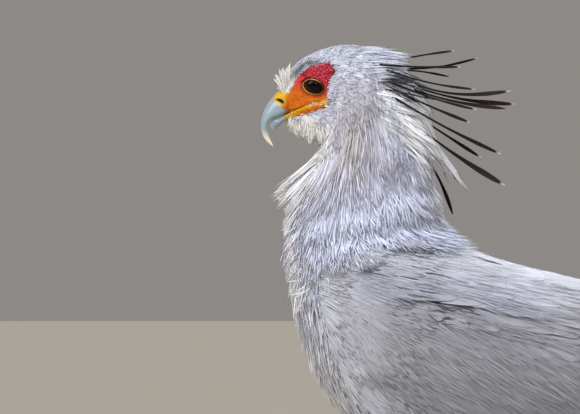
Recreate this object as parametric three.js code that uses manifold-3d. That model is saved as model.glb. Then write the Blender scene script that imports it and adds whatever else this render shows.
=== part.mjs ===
// A secretary bird, life size, standing at ease with its neck drawn in.
// Millimetres, +Z up. The bill points towards -X and the bird's left side faces -Y.
// Every form is laid out about the eye, which is at (0, 0), and the finished bird is set on the ground.

import * as THREE from "three";
import { mergeVertices } from "three/addons/utils/BufferGeometryUtils.js";
import Module from "manifold-3d";

const wasm = await Module();
wasm.setup();

// Driving dimensions.
const EYE_HEIGHT = 930;
const GAP = 0.3;
const HALF_GAP = GAP / 2;
const LEFT = -1;
const RIGHT = 1;
const SIDES = [["left", LEFT], ["right", RIGHT]];

// The trunk's hoops from the forehead to the rump. Each one holds the top or back point (x, z),
// the throat or belly point (x, z) and the half width between them.
const HOOPS = [
  [-32.3, -3.8, -22.8, -30.4, 9],
  [-28.5, 5.7, -20, -39, 12.5],
  [-21.9, 15.2, -14.3, -44.7, 17],
  [-12.4, 24.2, -6.7, -48.5, 21],
  [1, 31.4, 0, -51.3, 24.5],
  [17.1, 36.6, 5.7, -54, 27.5],
  [35.2, 38, 7.6, -58, 30],
  [55, 34.2, 3.8, -62.7, 32.5],
  [73, 26.6, -2.9, -69.4, 35],
  [84.6, 13.3, -8.6, -77, 37],
  [91, -5.7, -13.3, -87.4, 40],
  [97, -32.3, -17, -101.7, 44],
  [103.6, -65.6, -21.9, -121.6, 48],
  [110, -103.6, -24.7, -143.5, 53],
  [118.8, -135.9, -23.8, -168, 60],
  [143.5, -156.8, -20, -196.7, 69],
  [185, -172, -12.4, -233.7, 78],
  [232.8, -183.4, 4.8, -279.3, 84],
  [271, -193, 41, -323, 86],
  [309, -203, 98, -355, 84],
  [339, -215, 168, -367, 77],
  [361, -228, 238, -357, 64],
  [375, -243, 297, -331, 45],
  [383, -258, 339, -298, 24],
];
const HEAD_END = 8;
const NECK_END = 14;
const TRUNK_END = HOOPS.length - 1;
const TRUNK_SIDES = 20;
const EGG = 0.12; // how much wider a hoop is below its middle than above it

// The upper jaw from the tip of the hook to its root in the forehead: ridge (x, z), cutting edge (x, z), half width.
const UPPER_JAW = [
  [-39.7, -57.6, -39.3, -57.4, 0.4],
  [-44.7, -53.7, -41.5, -52.7, 1.2],
  [-48.9, -48, -43.7, -47.5, 2.2],
  [-51, -39.9, -45.6, -39.9, 3.6],
  [-50.6, -31.4, -43.2, -33.7, 5],
  [-48.5, -23.8, -38, -30.4, 6.2],
  [-44.7, -16.6, -30.4, -26.1, 7.4],
  [-38.5, -9, -22.8, -22.3, 8.8],
  [-32.3, -3.8, -12.4, -18, 10.5],
  [-21.9, 1.9, 1, -13.3, 13],
];
// The lower jaw, in the same way: upper edge, keel, half width.
const LOWER_JAW = [
  [-41.3, -37.6, -41.3, -38.4, 0.8],
  [-39, -33.2, -39.4, -41.3, 3],
  [-33.3, -28.9, -34.2, -38, 5],
  [-27.6, -25.6, -27, -33.3, 7],
  [-18, -21.5, -17, -29.5, 9.5],
  [-4.8, -17, -3.8, -25.7, 12.5],
  [8.6, -12.7, 9.5, -21, 15],
];
const JAW_SIDES = 10;

// Side views of the skin and horn of the head, as closed outlines (x, z).
const CERE_EDGE = [[-38.6, -2], [-38.6, -9.5], [-37.2, -17.1], [-33.5, -20], [-29, -21.8], [-23.6, -22.1]];
const UPPER_HORN = [...CERE_EDGE, [-20, -24], [-20, -70], [-70, -70], [-70, -2]];
const LOWER_HORN = [[-28.5, -20], [-27, -45], [-60, -45], [-60, -20]];
const FACE_OUTLINE = [
  [-50, -3], [-36, -5.6], [-28.5, -8], [-24.7, -5.7], [-21.9, 0], [-17, 8.6], [-10.5, 14.3], [-3.8, 17.6],
  [9.5, 20.9], [20, 16.6], [22.3, 13.3], [17, 9.5], [11.9, 2.9], [10.9, -7.6], [10.5, -10.9], [16.2, -16.2],
  [10.9, -20], [-3.8, -25.7], [-17, -30], [-26.6, -33.7], [-30, -40], [-60, -48], [-60, -70], [-75, -70],
  [-75, -3],
];
const MOUTH_LINE = [[-24.5, -22.6], [-18, -20.7], [-9, -18.3], [0, -15.6], [7, -13.2]];

// The eye, its lids and the ridge over it.
const EYE = { x: -1.8, y: 13, z: 0, radius: 12.5, floor: 6 };
const LID = { long: 10.6, tall: 8, tilt: -15, plane: 20.4 };
const BROW = { x: -0.5, y: 20.2, z: 12.2, long: 15.5, deep: 4, tall: 3.8, tilt: 12 };
const NOSTRIL = { x: -33, y: 8.8, z: -14, long: 4.6, deep: 3.4, tall: 1.5, tilt: -28 };

// The folded wing in side view: its upper and lower edges, from the wrist to the tip.
const WING_TOP = [
  [20, -208], [60, -190], [110, -180], [170, -186], [240, -200], [320, -222], [400, -262], [480, -312],
  [560, -370], [600, -402],
];
const WING_BOTTOM = [
  [12, -222], [24, -256], [62, -293], [120, -314], [190, -328], [270, -342], [350, -354], [430, -368],
  [510, -385], [600, -408],
];
const WING = { turn: 255, drop: 17, narrowing: 0.42, reach: 345, least: 50, leastFrom: 280, leastBy: 370 };

// Legs, laid out for a foot below the body's weight, and staggered by half a step each way.
const LEG = {
  spread: 55, stagger: 26, footX: 158, toeTop: 18, ankleX: 18, ankleHeight: 318, hemX: 2, hemHeight: 376,
  kneeX: -50, kneeHeight: 622,
};
const GROUND = -EYE_HEIGHT;

// The tail's own line: where it leaves the rump, how it droops and how far it runs.
const TAIL = { x: 345, z: -262, droop: 28, base: 95, long: 690 };

const LOOKS = {
  plume: { color: 0xb4b8c4, roughness: 0.85, metalness: 0 },
  covert: { color: 0x8f8e92, roughness: 0.85, metalness: 0 },
  black: { color: 0x1c1a1b, roughness: 0.7, metalness: 0 },
  skin: { color: 0xd3700a, roughness: 0.6, metalness: 0 },
  horn: { color: 0x9fb0b8, roughness: 0.35, metalness: 0 },
  eye: { color: 0x1c0f08, roughness: 0.05, metalness: 0 },
  scale: { color: 0xb7a08c, roughness: 0.6, metalness: 0 },
  claw: { color: 0x26221f, roughness: 0.4, metalness: 0 },
};

const point = (x, y, z) => new THREE.Vector3(x, y, z);
const mix = (a, b, share) => a + (b - a) * share;
const radians = THREE.MathUtils.degToRad;

// Turns a closed three.js geometry into a solid that joins and cuts, with its faces pointing out.
function solidOf(geometry) {
  const bare = new THREE.BufferGeometry().setAttribute("position", geometry.getAttribute("position"));
  bare.setIndex(geometry.index);
  const merged = mergeVertices(bare, 1e-4);
  const faces = [];
  for (let i = 0; i < merged.index.count; i += 3) {
    const face = [0, 1, 2].map((corner) => merged.index.getX(i + corner));
    if (new Set(face).size === 3) faces.push(...face);
  }
  const build = (triVerts) =>
    new wasm.Manifold(new wasm.Mesh({ numProp: 3, vertProperties: merged.attributes.position.array, triVerts }));
  const made = build(new Uint32Array(faces));
  return made.volume() > 0 ? made : build(new Uint32Array(faces.reverse()));
}

const joined = (solids) => solids.reduce((all, one) => all.add(one));

// The largest closed surface of a solid, without loose scraps and sealed hollows.
const largest = (solid) => solid.decompose().reduce((best, one) => (one.volume() > best.volume() ? one : best));

// A closed solid from corners and the triangles between them.
function shell(corners, faces) {
  return solidOf(new THREE.BufferGeometry().setFromPoints(corners).setIndex(faces));
}

// A closed solid through rings of points, with a fan of triangles at each end.
function loft(rings) {
  const sides = rings[0].length;
  const corners = rings.flat();
  const faces = [];
  rings.slice(1).forEach((_, row) => {
    for (let i = 0; i < sides; i += 1) {
      const a = row * sides + i;
      const b = row * sides + ((i + 1) % sides);
      faces.push(a, b, b + sides, a, b + sides, a + sides);
    }
  });
  [0, rings.length - 1].forEach((row) => {
    const hub = corners.length;
    corners.push(rings[row].reduce((sum, spot) => sum.add(spot), point(0, 0, 0)).divideScalar(sides));
    for (let i = 0; i < sides; i += 1) {
      const a = row * sides + i;
      const b = row * sides + ((i + 1) % sides);
      faces.push(...(row === 0 ? [hub, b, a] : [hub, a, b]));
    }
  });
  return shell(corners, faces);
}

// A thin blade through rows of four corners, with both of its faces split along the same diagonals.
function blade(rows) {
  const corners = rows.flat();
  const faces = [];
  rows.slice(1).forEach((_, row) => {
    const a = 4 * row;
    const b = a + 4;
    faces.push(a, a + 1, b + 1, a, b + 1, b);
    faces.push(a + 3, b + 2, a + 2, a + 3, b + 3, b + 2);
    faces.push(a, b, b + 3, a, b + 3, a + 3);
    faces.push(a + 1, a + 2, b + 2, a + 1, b + 2, b + 1);
  });
  const end = corners.length - 4;
  faces.push(0, 3, 2, 0, 2, 1, end, end + 1, end + 2, end, end + 2, end + 3);
  return shell(corners, faces);
}

// Outlines of a vane from root to tip: how far along, and how much of its full width it has there.
const FLIGHT = [[0, 0.2], [0.3, 0.9], [0.8, 0.95], [1, 0.15]];
const COVERT = [[0, 0.25], [0.4, 1], [0.85, 0.8], [1, 0.15]];
const LOCK = [[0, 0.25], [0.4, 1], [1, 0.12]];
const TUFT = [[0, 0.25], [0.45, 1], [1, 0.12]];

const RISE_BEND = 0.4; // a vane leaves the surface quickly and then lies along it

// A feather or lock that lies on a surface. skin(u, v, out) gives the surface, spread is the step in u and v
// that one millimetre of width takes, and the vane rises from its root to its tip. Its second edge stands
// out by roll, so that it laps over its neighbour.
function vane(skin, outline, { root, tip, spread, width, rise, roll = 0, thick = 1.1, bow = 0 }) {
  const rows = outline.map(([share, breadth]) => {
    const half = (width * breadth) / 2;
    const bend = bow * Math.sin(Math.PI * share);
    const u = mix(root[0], tip[0], share) + spread[0] * bend;
    const v = mix(root[1], tip[1], share) + spread[1] * bend;
    const out = mix(rise[0], rise[1], share ** RISE_BEND);
    const deep = thick * (1 - 0.45 * share);
    const corner = (edge, down) =>
      skin(u + spread[0] * half * edge, v + spread[1] * half * edge, out + roll * edge * breadth - down);
    return [corner(-1, 0), corner(1, 0), corner(1, deep), corner(-1, deep)];
  });
  return blade(rows);
}

// Small differences between feathers, the same each time.
let draw = 2167;
function varied(amount) {
  draw = (draw * 16807) % 2147483647;
  return amount * ((2 * draw) / 2147483647 - 1);
}

// A ring in the plane of a rise and the Y axis, wider below its middle by the share egg.
function hoopRing(centre, rise, half, sides, egg) {
  const ring = [];
  for (let i = 0; i < sides; i += 1) {
    const angle = (2 * Math.PI * i) / sides;
    const width = half * Math.sin(angle) * (1 - egg * Math.cos(angle));
    ring.push(centre.clone().addScaledVector(rise, Math.cos(angle)).add(point(0, -width, 0)));
  }
  return ring;
}

// A smooth line through stations, which passes through station i at i.
function lineThrough(stations) {
  const curve = new THREE.CatmullRomCurve3(stations, false, "catmullrom", 0.5);
  return (t) => curve.getPoint(THREE.MathUtils.clamp(t / (stations.length - 1), 0, 1));
}
const flatLine = (stations) => lineThrough(stations.map(([x, z]) => point(x, 0, z)));

const backLine = flatLine(HOOPS);
const bellyLine = flatLine(HOOPS.map((hoop) => hoop.slice(2)));
const widthLine = lineThrough(HOOPS.map((hoop) => point(hoop[4], 0, 0)));

function hoopAt(t) {
  const back = backLine(t);
  const belly = bellyLine(t);
  return {
    centre: back.clone().add(belly).multiplyScalar(0.5),
    rise: back.sub(belly).multiplyScalar(0.5),
    half: widthLine(t).x,
  };
}

function hoopNormal(t) {
  const up = hoopAt(t).rise.normalize();
  return point(up.z, 0, -up.x);
}

// A point of the trunk's surface: angle 0 is the back, pi the belly, and positive angles are on the left.
function trunk(t, angle, out = 0) {
  const { centre, rise, half } = hoopAt(t);
  const up = Math.cos(angle) * (1 + out / rise.length());
  const width = (half + out) * Math.sin(angle) * (1 - EGG * Math.cos(angle));
  return centre.addScaledVector(rise, up).add(point(0, -width, 0));
}

// A length of the trunk between two hoops, swollen by grow, with each end drawn in by its own gap.
function trunkPart(from, to, steps, grow = 0, startGap = 0, endGap = 0) {
  const rings = [];
  for (let i = 0; i <= steps; i += 1) {
    const t = mix(from, to, i / steps);
    const shift = i === 0 ? startGap : i === steps ? -endGap : 0;
    const { centre, rise, half } = hoopAt(t);
    centre.addScaledVector(hoopNormal(t), shift);
    rise.multiplyScalar(1 + grow / rise.length());
    rings.push(hoopRing(centre, rise, half + grow, TRUNK_SIDES, EGG));
  }
  return loft(rings);
}

// How far the trunk's side stands from the middle plane, beside a point (x, z) of the side view.
function sideAt(x, z, lowest = -0.6, highest = 0.92) {
  let low = HEAD_END;
  let high = TRUNK_END;
  for (let i = 0; i < 24; i += 1) {
    const t = (low + high) / 2;
    const ahead = point(x, 0, z).sub(hoopAt(t).centre).dot(hoopNormal(t));
    if (ahead > 0) low = t;
    else high = t;
  }
  const { centre, rise, half } = hoopAt(low);
  const height = point(x, 0, z).sub(centre).dot(rise) / rise.lengthSq();
  const up = THREE.MathUtils.clamp(height, lowest, highest);
  return half * Math.sqrt(1 - up * up) * (1 - EGG * up);
}

// A closed outline (x, z), moved outwards by grow.
function moved(outline, grow) {
  const corners = outline.map(([x, z]) => new THREE.Vector2(x, z));
  const turn = THREE.ShapeUtils.isClockWise(corners) ? -1 : 1;
  return corners.map((corner, i) => {
    const before = corners[(i + corners.length - 1) % corners.length];
    const after = corners[(i + 1) % corners.length];
    const along = after.clone().sub(before).normalize();
    return corner.clone().add(new THREE.Vector2(along.y, -along.x).multiplyScalar(grow * turn));
  });
}

// A side-view outline carried right across the bird.
const SLAB_REACH = 80;
function slab(outline, grow = 0) {
  const geometry = new THREE.ExtrudeGeometry(new THREE.Shape(moved(outline, grow)), {
    depth: 2 * SLAB_REACH,
    bevelEnabled: false,
  });
  geometry.translate(0, 0, -SLAB_REACH);
  geometry.rotateX(Math.PI / 2);
  return solidOf(geometry);
}

// A box by its middle and its sizes.
function block(x, y, z, long, wide, tall) {
  return solidOf(new THREE.BoxGeometry(long, wide, tall).translate(x, y, z));
}

// An egg-shaped lump on one side of the bird, tilted in side view.
function lump({ x, y, z, long, deep, tall, tilt }, side) {
  const geometry = new THREE.SphereGeometry(1, 10, 6).scale(long, deep, tall);
  geometry.rotateY(-radians(tilt));
  return solidOf(geometry.translate(x, side * y, z));
}

// A tube along points, with a radius at each one. Its sections stay square to the line,
// and their first corner lies along across.
function tube(points, radii, sides, across = point(0, 1, 0)) {
  const rings = points.map((spot, i) => {
    const before = points[Math.max(0, i - 1)];
    const after = points[Math.min(points.length - 1, i + 1)];
    const along = after.clone().sub(before).normalize();
    const up = along.clone().cross(across).normalize();
    const wide = up.clone().cross(along);
    const ring = [];
    for (let k = 0; k < sides; k += 1) {
      const angle = (2 * Math.PI * k) / sides;
      const corner = spot.clone().addScaledVector(wide, radii[i] * Math.cos(angle));
      ring.push(corner.addScaledVector(up, radii[i] * Math.sin(angle)));
    }
    return ring;
  });
  return loft(rings);
}

const bird = new THREE.Group();

function addNode(name, solid, look) {
  const made = largest(solid).getMesh();
  const geometry = new THREE.BufferGeometry();
  geometry.setAttribute("position", new THREE.BufferAttribute(made.vertProperties, 3));
  geometry.setIndex(new THREE.BufferAttribute(made.triVerts, 1));
  const mesh = new THREE.Mesh(geometry, new THREE.MeshStandardMaterial(look));
  mesh.name = name;
  bird.add(mesh);
}

// Head, face and bill.
function jaw(stations, egg) {
  const rings = stations.map(([x1, z1, x2, z2, half]) => {
    const centre = point((x1 + x2) / 2, 0, (z1 + z2) / 2);
    return hoopRing(centre, point((x1 - x2) / 2, 0, (z1 - z2) / 2), half, JAW_SIDES, egg);
  });
  return loft(rings);
}

function eyeball(side, grow) {
  const ball = new THREE.SphereGeometry(EYE.radius + grow, 14, 9).translate(EYE.x, side * EYE.y, EYE.z);
  const depth = 2 * EYE.radius;
  const kept = block(EYE.x, side * (EYE.floor - grow + depth / 2), EYE.z, 2 * depth, depth, 2 * depth);
  return solidOf(ball).intersect(kept);
}

// The two lids as one raised ring, closer to the eye above and below than at its corners.
function lids(side) {
  const profile = [[13.2, -3.5], [12.4, 0.6], [10.9, 2.6], [9.9, 2.2], [9.6, -3.5], [13.2, -3.5]];
  const ring = new THREE.LatheGeometry(profile.map(([r, y]) => new THREE.Vector2(r, y)), 14);
  ring.scale(LID.long / 10, side, LID.tall / 10);
  ring.rotateY(-radians(LID.tilt));
  return solidOf(ring.translate(EYE.x, side * LID.plane, EYE.z));
}

function mouthGroove(side) {
  const spots = MOUTH_LINE.map(([x, z], i) => point(x, side * mix(9.6, 20.5, i / (MOUTH_LINE.length - 1)), z));
  return tube(spots, [0.9, 0.9, 0.9, 0.8, 0.4], 4);
}

// Locks of the head: hoop and angle of the root, hoop of the tip, width, and how far the tip stands out.
const HEAD_LOCKS = [
  { from: 2.6, to: 0.75, angles: [-0.42, 0, 0.42], width: 9, rise: 8 },
  { from: 3.6, to: 1.9, angles: [-0.3, 0.3], width: 10, rise: 7 },
  { from: 1.4, to: 3.4, angles: [2.85, 3.43], width: 10, rise: 4.5 },
  { from: 2.7, to: 4.8, angles: [2.5, 3.14, 3.78], width: 11, rise: 5 },
  { from: 6.3, to: 8.3, angles: [-0.55, 0, 0.55], width: 15, rise: 4.5 },
];
function headLocks() {
  return HEAD_LOCKS.flatMap(({ from, to, angles, width, rise }) => angles.map((angle) => vane(trunk, LOCK, {
    root: [from + varied(0.1), angle], tip: [to + varied(0.25), angle * 1.02 + varied(0.03)],
    spread: [0, 1 / 24], width, rise: [-2, rise + varied(1)],
  })));
}

function headSolids() {
  const skull = trunkPart(0, HEAD_END, 10, 0, 0, HALF_GAP);
  const upperJaw = jaw(UPPER_JAW, 0.2);
  const lowerJaw = jaw(LOWER_JAW, -0.15);
  const brows = SIDES.map(([, side]) => lump(BROW, side));
  const whole = joined([skull, ...brows]);
  let skin = joined([whole, upperJaw, lowerJaw]).intersect(slab(FACE_OUTLINE, -HALF_GAP));
  skin = skin.subtract(slab(UPPER_HORN, HALF_GAP)).subtract(slab(LOWER_HORN, HALF_GAP));
  SIDES.forEach(([, side]) => {
    skin = skin.add(lids(side).intersect(slab(FACE_OUTLINE, -HALF_GAP)));
    skin = skin.subtract(eyeball(side, GAP)).subtract(lump(NOSTRIL, side)).subtract(mouthGroove(side));
  });
  const neckGrown = trunkPart(HEAD_END, NECK_END, 8, GAP, 0, 0);
  const crown = joined([whole, ...headLocks()]).subtract(neckGrown);
  return {
    head: crown.subtract(slab(FACE_OUTLINE, HALF_GAP)),
    face: skin,
    bill_upper: upperJaw.intersect(slab(UPPER_HORN, -HALF_GAP)),
    bill_lower: lowerJaw.intersect(slab(LOWER_HORN, -HALF_GAP)),
  };
}

const head = headSolids();
addNode("head", head.head, LOOKS.plume);
addNode("face", head.face, LOOKS.skin);
addNode("bill_upper", head.bill_upper, LOOKS.horn);
addNode("bill_lower", head.bill_lower, LOOKS.horn);
SIDES.forEach(([word, side]) => addNode("eye_" + word, eyeball(side, 0), LOOKS.eye));

// Neck and torso.
const NAPE = { inner: 12, from: HEAD_END, to: 12 };
function napeOutline() {
  const outer = [];
  const inner = [];
  for (let t = NAPE.from + 0.25; t <= NAPE.to; t += 0.75) {
    const back = backLine(t);
    const inwards = bellyLine(t).sub(back).normalize();
    outer.push(back.clone().addScaledVector(inwards, -20));
    inner.push(back.clone().addScaledVector(inwards, NAPE.inner));
  }
  return [...outer, ...inner.reverse()].map((spot) => [spot.x, spot.z]);
}

// The crest's quills, from the top row to the lowest: hoop and angle of the root, tip (x, z), how far the tip
// stands from the middle plane, breadth near the tip, and how far the shaft bows upwards.
const QUILLS = [
  { t: 8.5, angle: 0.1, tip: [133, 33], out: 6, broad: 3, bow: 3 },
  { t: 8.7, angle: -0.15, tip: [154.5, 26.8], out: -14, broad: 4, bow: -4 },
  { t: 8.8, angle: 0.3, tip: [138, 16], out: 24, broad: 4, bow: 1 },
  { t: 9.0, angle: -0.35, tip: [128, 9], out: -28, broad: 4, bow: 2 },
  { t: 9.1, angle: 0.12, tip: [151, -4], out: 12, broad: 4, bow: 3 },
  { t: 9.35, angle: -0.12, tip: [185, -4.8], out: -12, broad: 8, bow: 2 },
  { t: 9.6, angle: 0.38, tip: [152, -23.5], out: 34, broad: 4, bow: 3 },
  { t: 9.7, angle: 0.14, tip: [190.5, -17.4], out: 14, broad: 8, bow: 5 },
  { t: 9.9, angle: -0.36, tip: [180, -21.5], out: -36, broad: 7, bow: 4 },
  { t: 10.2, angle: 0.3, tip: [146, -35], out: 26, broad: 5, bow: 2 },
  { t: 10.3, angle: -0.14, tip: [175, -65.4], out: -16, broad: 6, bow: 3 },
  { t: 10.6, angle: 0.16, tip: [157.7, -67.5], out: 18, broad: 6, bow: 2 },
  { t: 10.9, angle: -0.36, tip: [179, -94.8], out: -30, broad: 9, bow: 4 },
  { t: 11.4, angle: 0.3, tip: [131.6, -122], out: 24, broad: 6, bow: 5 },
];
const QUILL = [[0, 2.2], [0.5, 1.8], [0.78, 1], [0.93, 0.75], [1, 0.12]];
const QUILL_STEM_ROWS = 2; // the first rows of a quill give its stem's width in millimetres
const QUILL_SINK = -7;

// A quill leans its flat face half towards the side, so that it shows from there and from above.
function quill({ t, angle, tip, out, broad, bow }) {
  const root = trunk(t, angle, QUILL_SINK);
  const end = point(tip[0], -out, tip[1]);
  const along = end.clone().sub(root).normalize();
  const up = along.clone().cross(point(0, 1, 0)).normalize();
  const wide = up.clone().add(point(0, angle > 0 ? 0.8 : -0.8, 0)).normalize();
  const face = along.clone().cross(wide).normalize();
  const rows = QUILL.map(([share, breadth], row) => {
    const half = (row < QUILL_STEM_ROWS ? breadth : broad * breadth) / 2;
    const spot = root.clone().lerp(end, share).addScaledVector(up, bow * Math.sin(Math.PI * share));
    const deep = mix(1.8, 0.6, share) / 2;
    const corner = (edge, side) =>
      spot.clone().addScaledVector(wide, half * edge).addScaledVector(face, deep * side);
    return [corner(-1, 1), corner(1, 1), corner(1, -1), corner(-1, -1)];
  });
  return blade(rows);
}

// Locks that lie on the trunk in tiers. Each tier runs from one hoop to another, round the given angles.
function trunkLocks(tiers) {
  return tiers.flatMap(({ from, to, angles, width, rise }) => angles.map((angle) => vane(trunk, LOCK, {
    root: [from + varied(0.15), angle], tip: [to + varied(0.3), angle + varied(0.08)],
    spread: [0, 1 / widthLine(from).x], width: width + varied(2), rise: [-3.5, rise + varied(1.2)],
  })));
}
const bothSides = (angles) => [...angles.map((angle) => -angle), ...angles];

const NAPE_TIERS = [
  { from: 8.7, to: 10.2, angles: bothSides([0.32]), width: 12, rise: 5 },
  { from: 9.8, to: 12.1, angles: bothSides([0.28]), width: 13, rise: 7 },
  { from: 10.6, to: 13.2, angles: [-0.1], width: 13, rise: 10 },
];
const NECK_TIERS = [
  { from: 8.6, to: 10.4, angles: bothSides([1.3, 2.15]), width: 27, rise: 4.5 },
  { from: 9.7, to: 11.7, angles: [...bothSides([1, 1.75, 2.5])], width: 28, rise: 5 },
  { from: 10.9, to: 12.9, angles: bothSides([0.75, 1.4, 2.15]), width: 29, rise: 5.5 },
  { from: 11.5, to: 12.6, angles: [2.85, Math.PI, 3.43], width: 14, rise: 17 },
  { from: 12, to: 13.9, angles: [...bothSides([0.55, 1.3, 2.1]), Math.PI], width: 33, rise: 6 },
  { from: 12.9, to: 15, angles: [0, ...bothSides([0.75, 1.45, 2.15])], width: 34, rise: 8 },
];

const TORSO_STEPS = 12;
const torso = trunkPart(NECK_END, TRUNK_END, TORSO_STEPS, 0, HALF_GAP, 0);
const torsoGrown = trunkPart(NECK_END, TRUNK_END, TORSO_STEPS, GAP + 0.1, 0, -GAP);
const nape = slab(napeOutline(), -HALF_GAP);
const napeGrown = slab(napeOutline(), HALF_GAP);

const neckCore = trunkPart(HEAD_END, NECK_END, 8, 0, HALF_GAP, HALF_GAP);
const hackles = joined([neckCore, ...trunkLocks(NECK_TIERS)]);
const crest = joined([neckCore.intersect(nape), ...QUILLS.map(quill), ...trunkLocks(NAPE_TIERS)]);
addNode("neck", hackles.subtract(napeGrown), LOOKS.plume);
addNode("crest", crest, LOOKS.black);
addNode("torso", torso, LOOKS.plume);

// Wings.
const wingTop = flatLine(WING_TOP);
const wingBottom = flatLine(WING_BOTTOM);
const WING_END = WING_TOP.length - 1;

// The folded wing's outer surface: it lies on the body's side, and straightens past the body.
function wingY(x, z) {
  const past = Math.max(0, x - WING.turn);
  const risen = z + past * Math.tan(radians(WING.drop));
  const width = sideAt(Math.min(x, WING.turn), risen) * (1 - (WING.narrowing * past) / WING.reach);
  const least = WING.least * THREE.MathUtils.smoothstep(x, WING.leastFrom, WING.leastBy);
  return Math.max(width, least);
}

function wingSpot(side, x, z, out) {
  return point(x, side * (wingY(x, z) + out), z);
}

// A plate on the wing's surface, between two stations and two shares of its height.
function wingPlate(side, stations, high, low, out, depth) {
  const levels = 4;
  const rings = stations.map((station) => {
    const top = wingTop(station);
    const bottom = wingBottom(station);
    const row = (offset) => {
      const spots = [];
      for (let i = 0; i <= levels; i += 1) {
        const share = mix(high, low, i / levels);
        spots.push(wingSpot(side, mix(top.x, bottom.x, share), mix(top.z, bottom.z, share), offset));
      }
      return spots;
    };
    return [...row(out), ...row(out - depth).reverse()];
  });
  return loft(rings);
}

const PAD = { out: 4.4, deep: 8.4, end: 5.6, stations: 8 };
const steps = (from, to, count) => Array.from({ length: count + 1 }, (_, i) => mix(from, to, i / count));

// Rows of feathers from the wing's tip end of the stack to its top. Each row runs from its first root to its
// last, its lengths and droops change along it, and rise is how high each vane's root and tip lie.
const WING_ROWS = [
  { kind: FLIGHT, count: 3, first: [306, -338], last: [345, -324], long: [230, 260], droop: [15.5, 18], width: 20,
    rise: [2.2, 2.8] },
  { kind: FLIGHT, count: 5, first: [140, -306], last: [320, -302], long: [186, 236], droop: [9, 18], width: 23,
    rise: [2.2, 5.2] },
  { kind: FLIGHT, count: 4, first: [236, -214], last: [282, -282], long: [228, 262], droop: [26, 21], width: 25,
    rise: [2.2, 7.6] },
  { kind: COVERT, count: 5, first: [60, -278], last: [282, -280], long: [84, 96], droop: [19, 15], width: 27,
    rise: [2.2, 7.4] },
  { kind: COVERT, count: 5, first: [36, -246], last: [226, -254], long: [76, 88], droop: [22, 17], width: 26,
    rise: [2.2, 8.8] },
  { kind: COVERT, count: 5, first: [50, -206], last: [222, -218], long: [104, 180], droop: [13, 23], width: 27,
    rise: [2.2, 10] },
];

function wingRow(side, { kind, count, first, last, long, droop, width, rise }) {
  return steps(0, 1, count - 1).map((share) => {
    const root = [mix(first[0], last[0], share), mix(first[1], last[1], share)];
    const angle = radians(mix(droop[0], droop[1], share) + varied(1));
    const reach = mix(long[0], long[1], share) + varied(5);
    const tip = [root[0] + reach * Math.cos(angle), root[1] - reach * Math.sin(angle)];
    return vane((x, z, out) => wingSpot(side, x, z, out), kind, {
      root, tip, width, rise, roll: 0.8, spread: [-Math.sin(angle), -Math.cos(angle)], bow: 2,
    });
  });
}

SIDES.forEach(([word, side]) => {
  const pad = wingPlate(side, steps(0, PAD.end, PAD.stations), 0, 1, PAD.out, PAD.deep);
  const feathers = WING_ROWS.flatMap((row) => wingRow(side, row));
  addNode("wing_" + word, joined([pad, ...feathers]).subtract(torsoGrown), LOOKS.covert);
});

// Tail.
const tailWay = point(Math.cos(radians(TAIL.droop)), 0, -Math.sin(radians(TAIL.droop)));
const tailUp = point(Math.sin(radians(TAIL.droop)), 0, Math.cos(radians(TAIL.droop)));
function tailSpot(along, across, up) {
  return point(TAIL.x, across, TAIL.z).addScaledVector(tailWay, along).addScaledVector(tailUp, up);
}
function tailRing(along, half, thick) {
  const ring = [];
  const sides = 10;
  for (let i = 0; i < sides; i += 1) {
    const angle = (2 * Math.PI * i) / sides;
    ring.push(tailSpot(along, half * Math.cos(angle), thick * Math.sin(angle)));
  }
  return ring;
}
const tailBase = loft([
  tailRing(0, 24, 22), tailRing(40, 32, 20), tailRing(TAIL.base, 34, 14), tailRing(170, 32, 6),
]);

// Pairs of tail feathers from the long middle pair on top to the short outer pair below.
const TAIL_PAIRS = [TAIL.long, 440, 428, 410, 388, 362];
function tailPair(long, pair) {
  const turn = radians(0.4 * pair);
  const start = 70;
  return SIDES.map(([, side]) => {
    const across = side * (8 + 1.7 * pair);
    return vane(tailSpot, FLIGHT, {
      root: [start, across], tip: [long, across + side * (long - start) * Math.sin(turn)], spread: [0, side],
      width: 34, rise: [3 - 2 * pair, 6 + 0.7 * side - 2.5 * pair], roll: -0.4, thick: 1.3,
    });
  });
}
// Coverts over the root of the tail, above and below.
function tailCoverts() {
  return [-19, 0, 19].flatMap((across) => [1, -1].map((face) =>
    vane((u, v, out) => tailSpot(u, v, face * out), COVERT, {
      root: [62, across], tip: [150 + varied(12) + 60 * (1 - Math.abs(across) / 21), across * 1.1],
      spread: [0, 1], width: 26, rise: [13, 12 + varied(1)], thick: 1.4,
    })));
}
const tail = joined([tailBase, ...TAIL_PAIRS.flatMap(tailPair), ...tailCoverts()]);
addNode("tail", tail.subtract(torsoGrown), LOOKS.plume);

// Legs and feet.
function legOf(side) {
  const x = LEG.footX + (side === LEFT ? -LEG.stagger : LEG.stagger);
  const y = side * LEG.spread;
  return {
    side,
    foot: point(x, y, GROUND),
    ankle: point(x + LEG.ankleX, y, GROUND + LEG.ankleHeight),
    hem: point(x + LEG.hemX, y, GROUND + LEG.hemHeight),
    knee: point(LEG.footX + LEG.kneeX, y * 0.8, GROUND + LEG.kneeHeight),
  };
}

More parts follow.
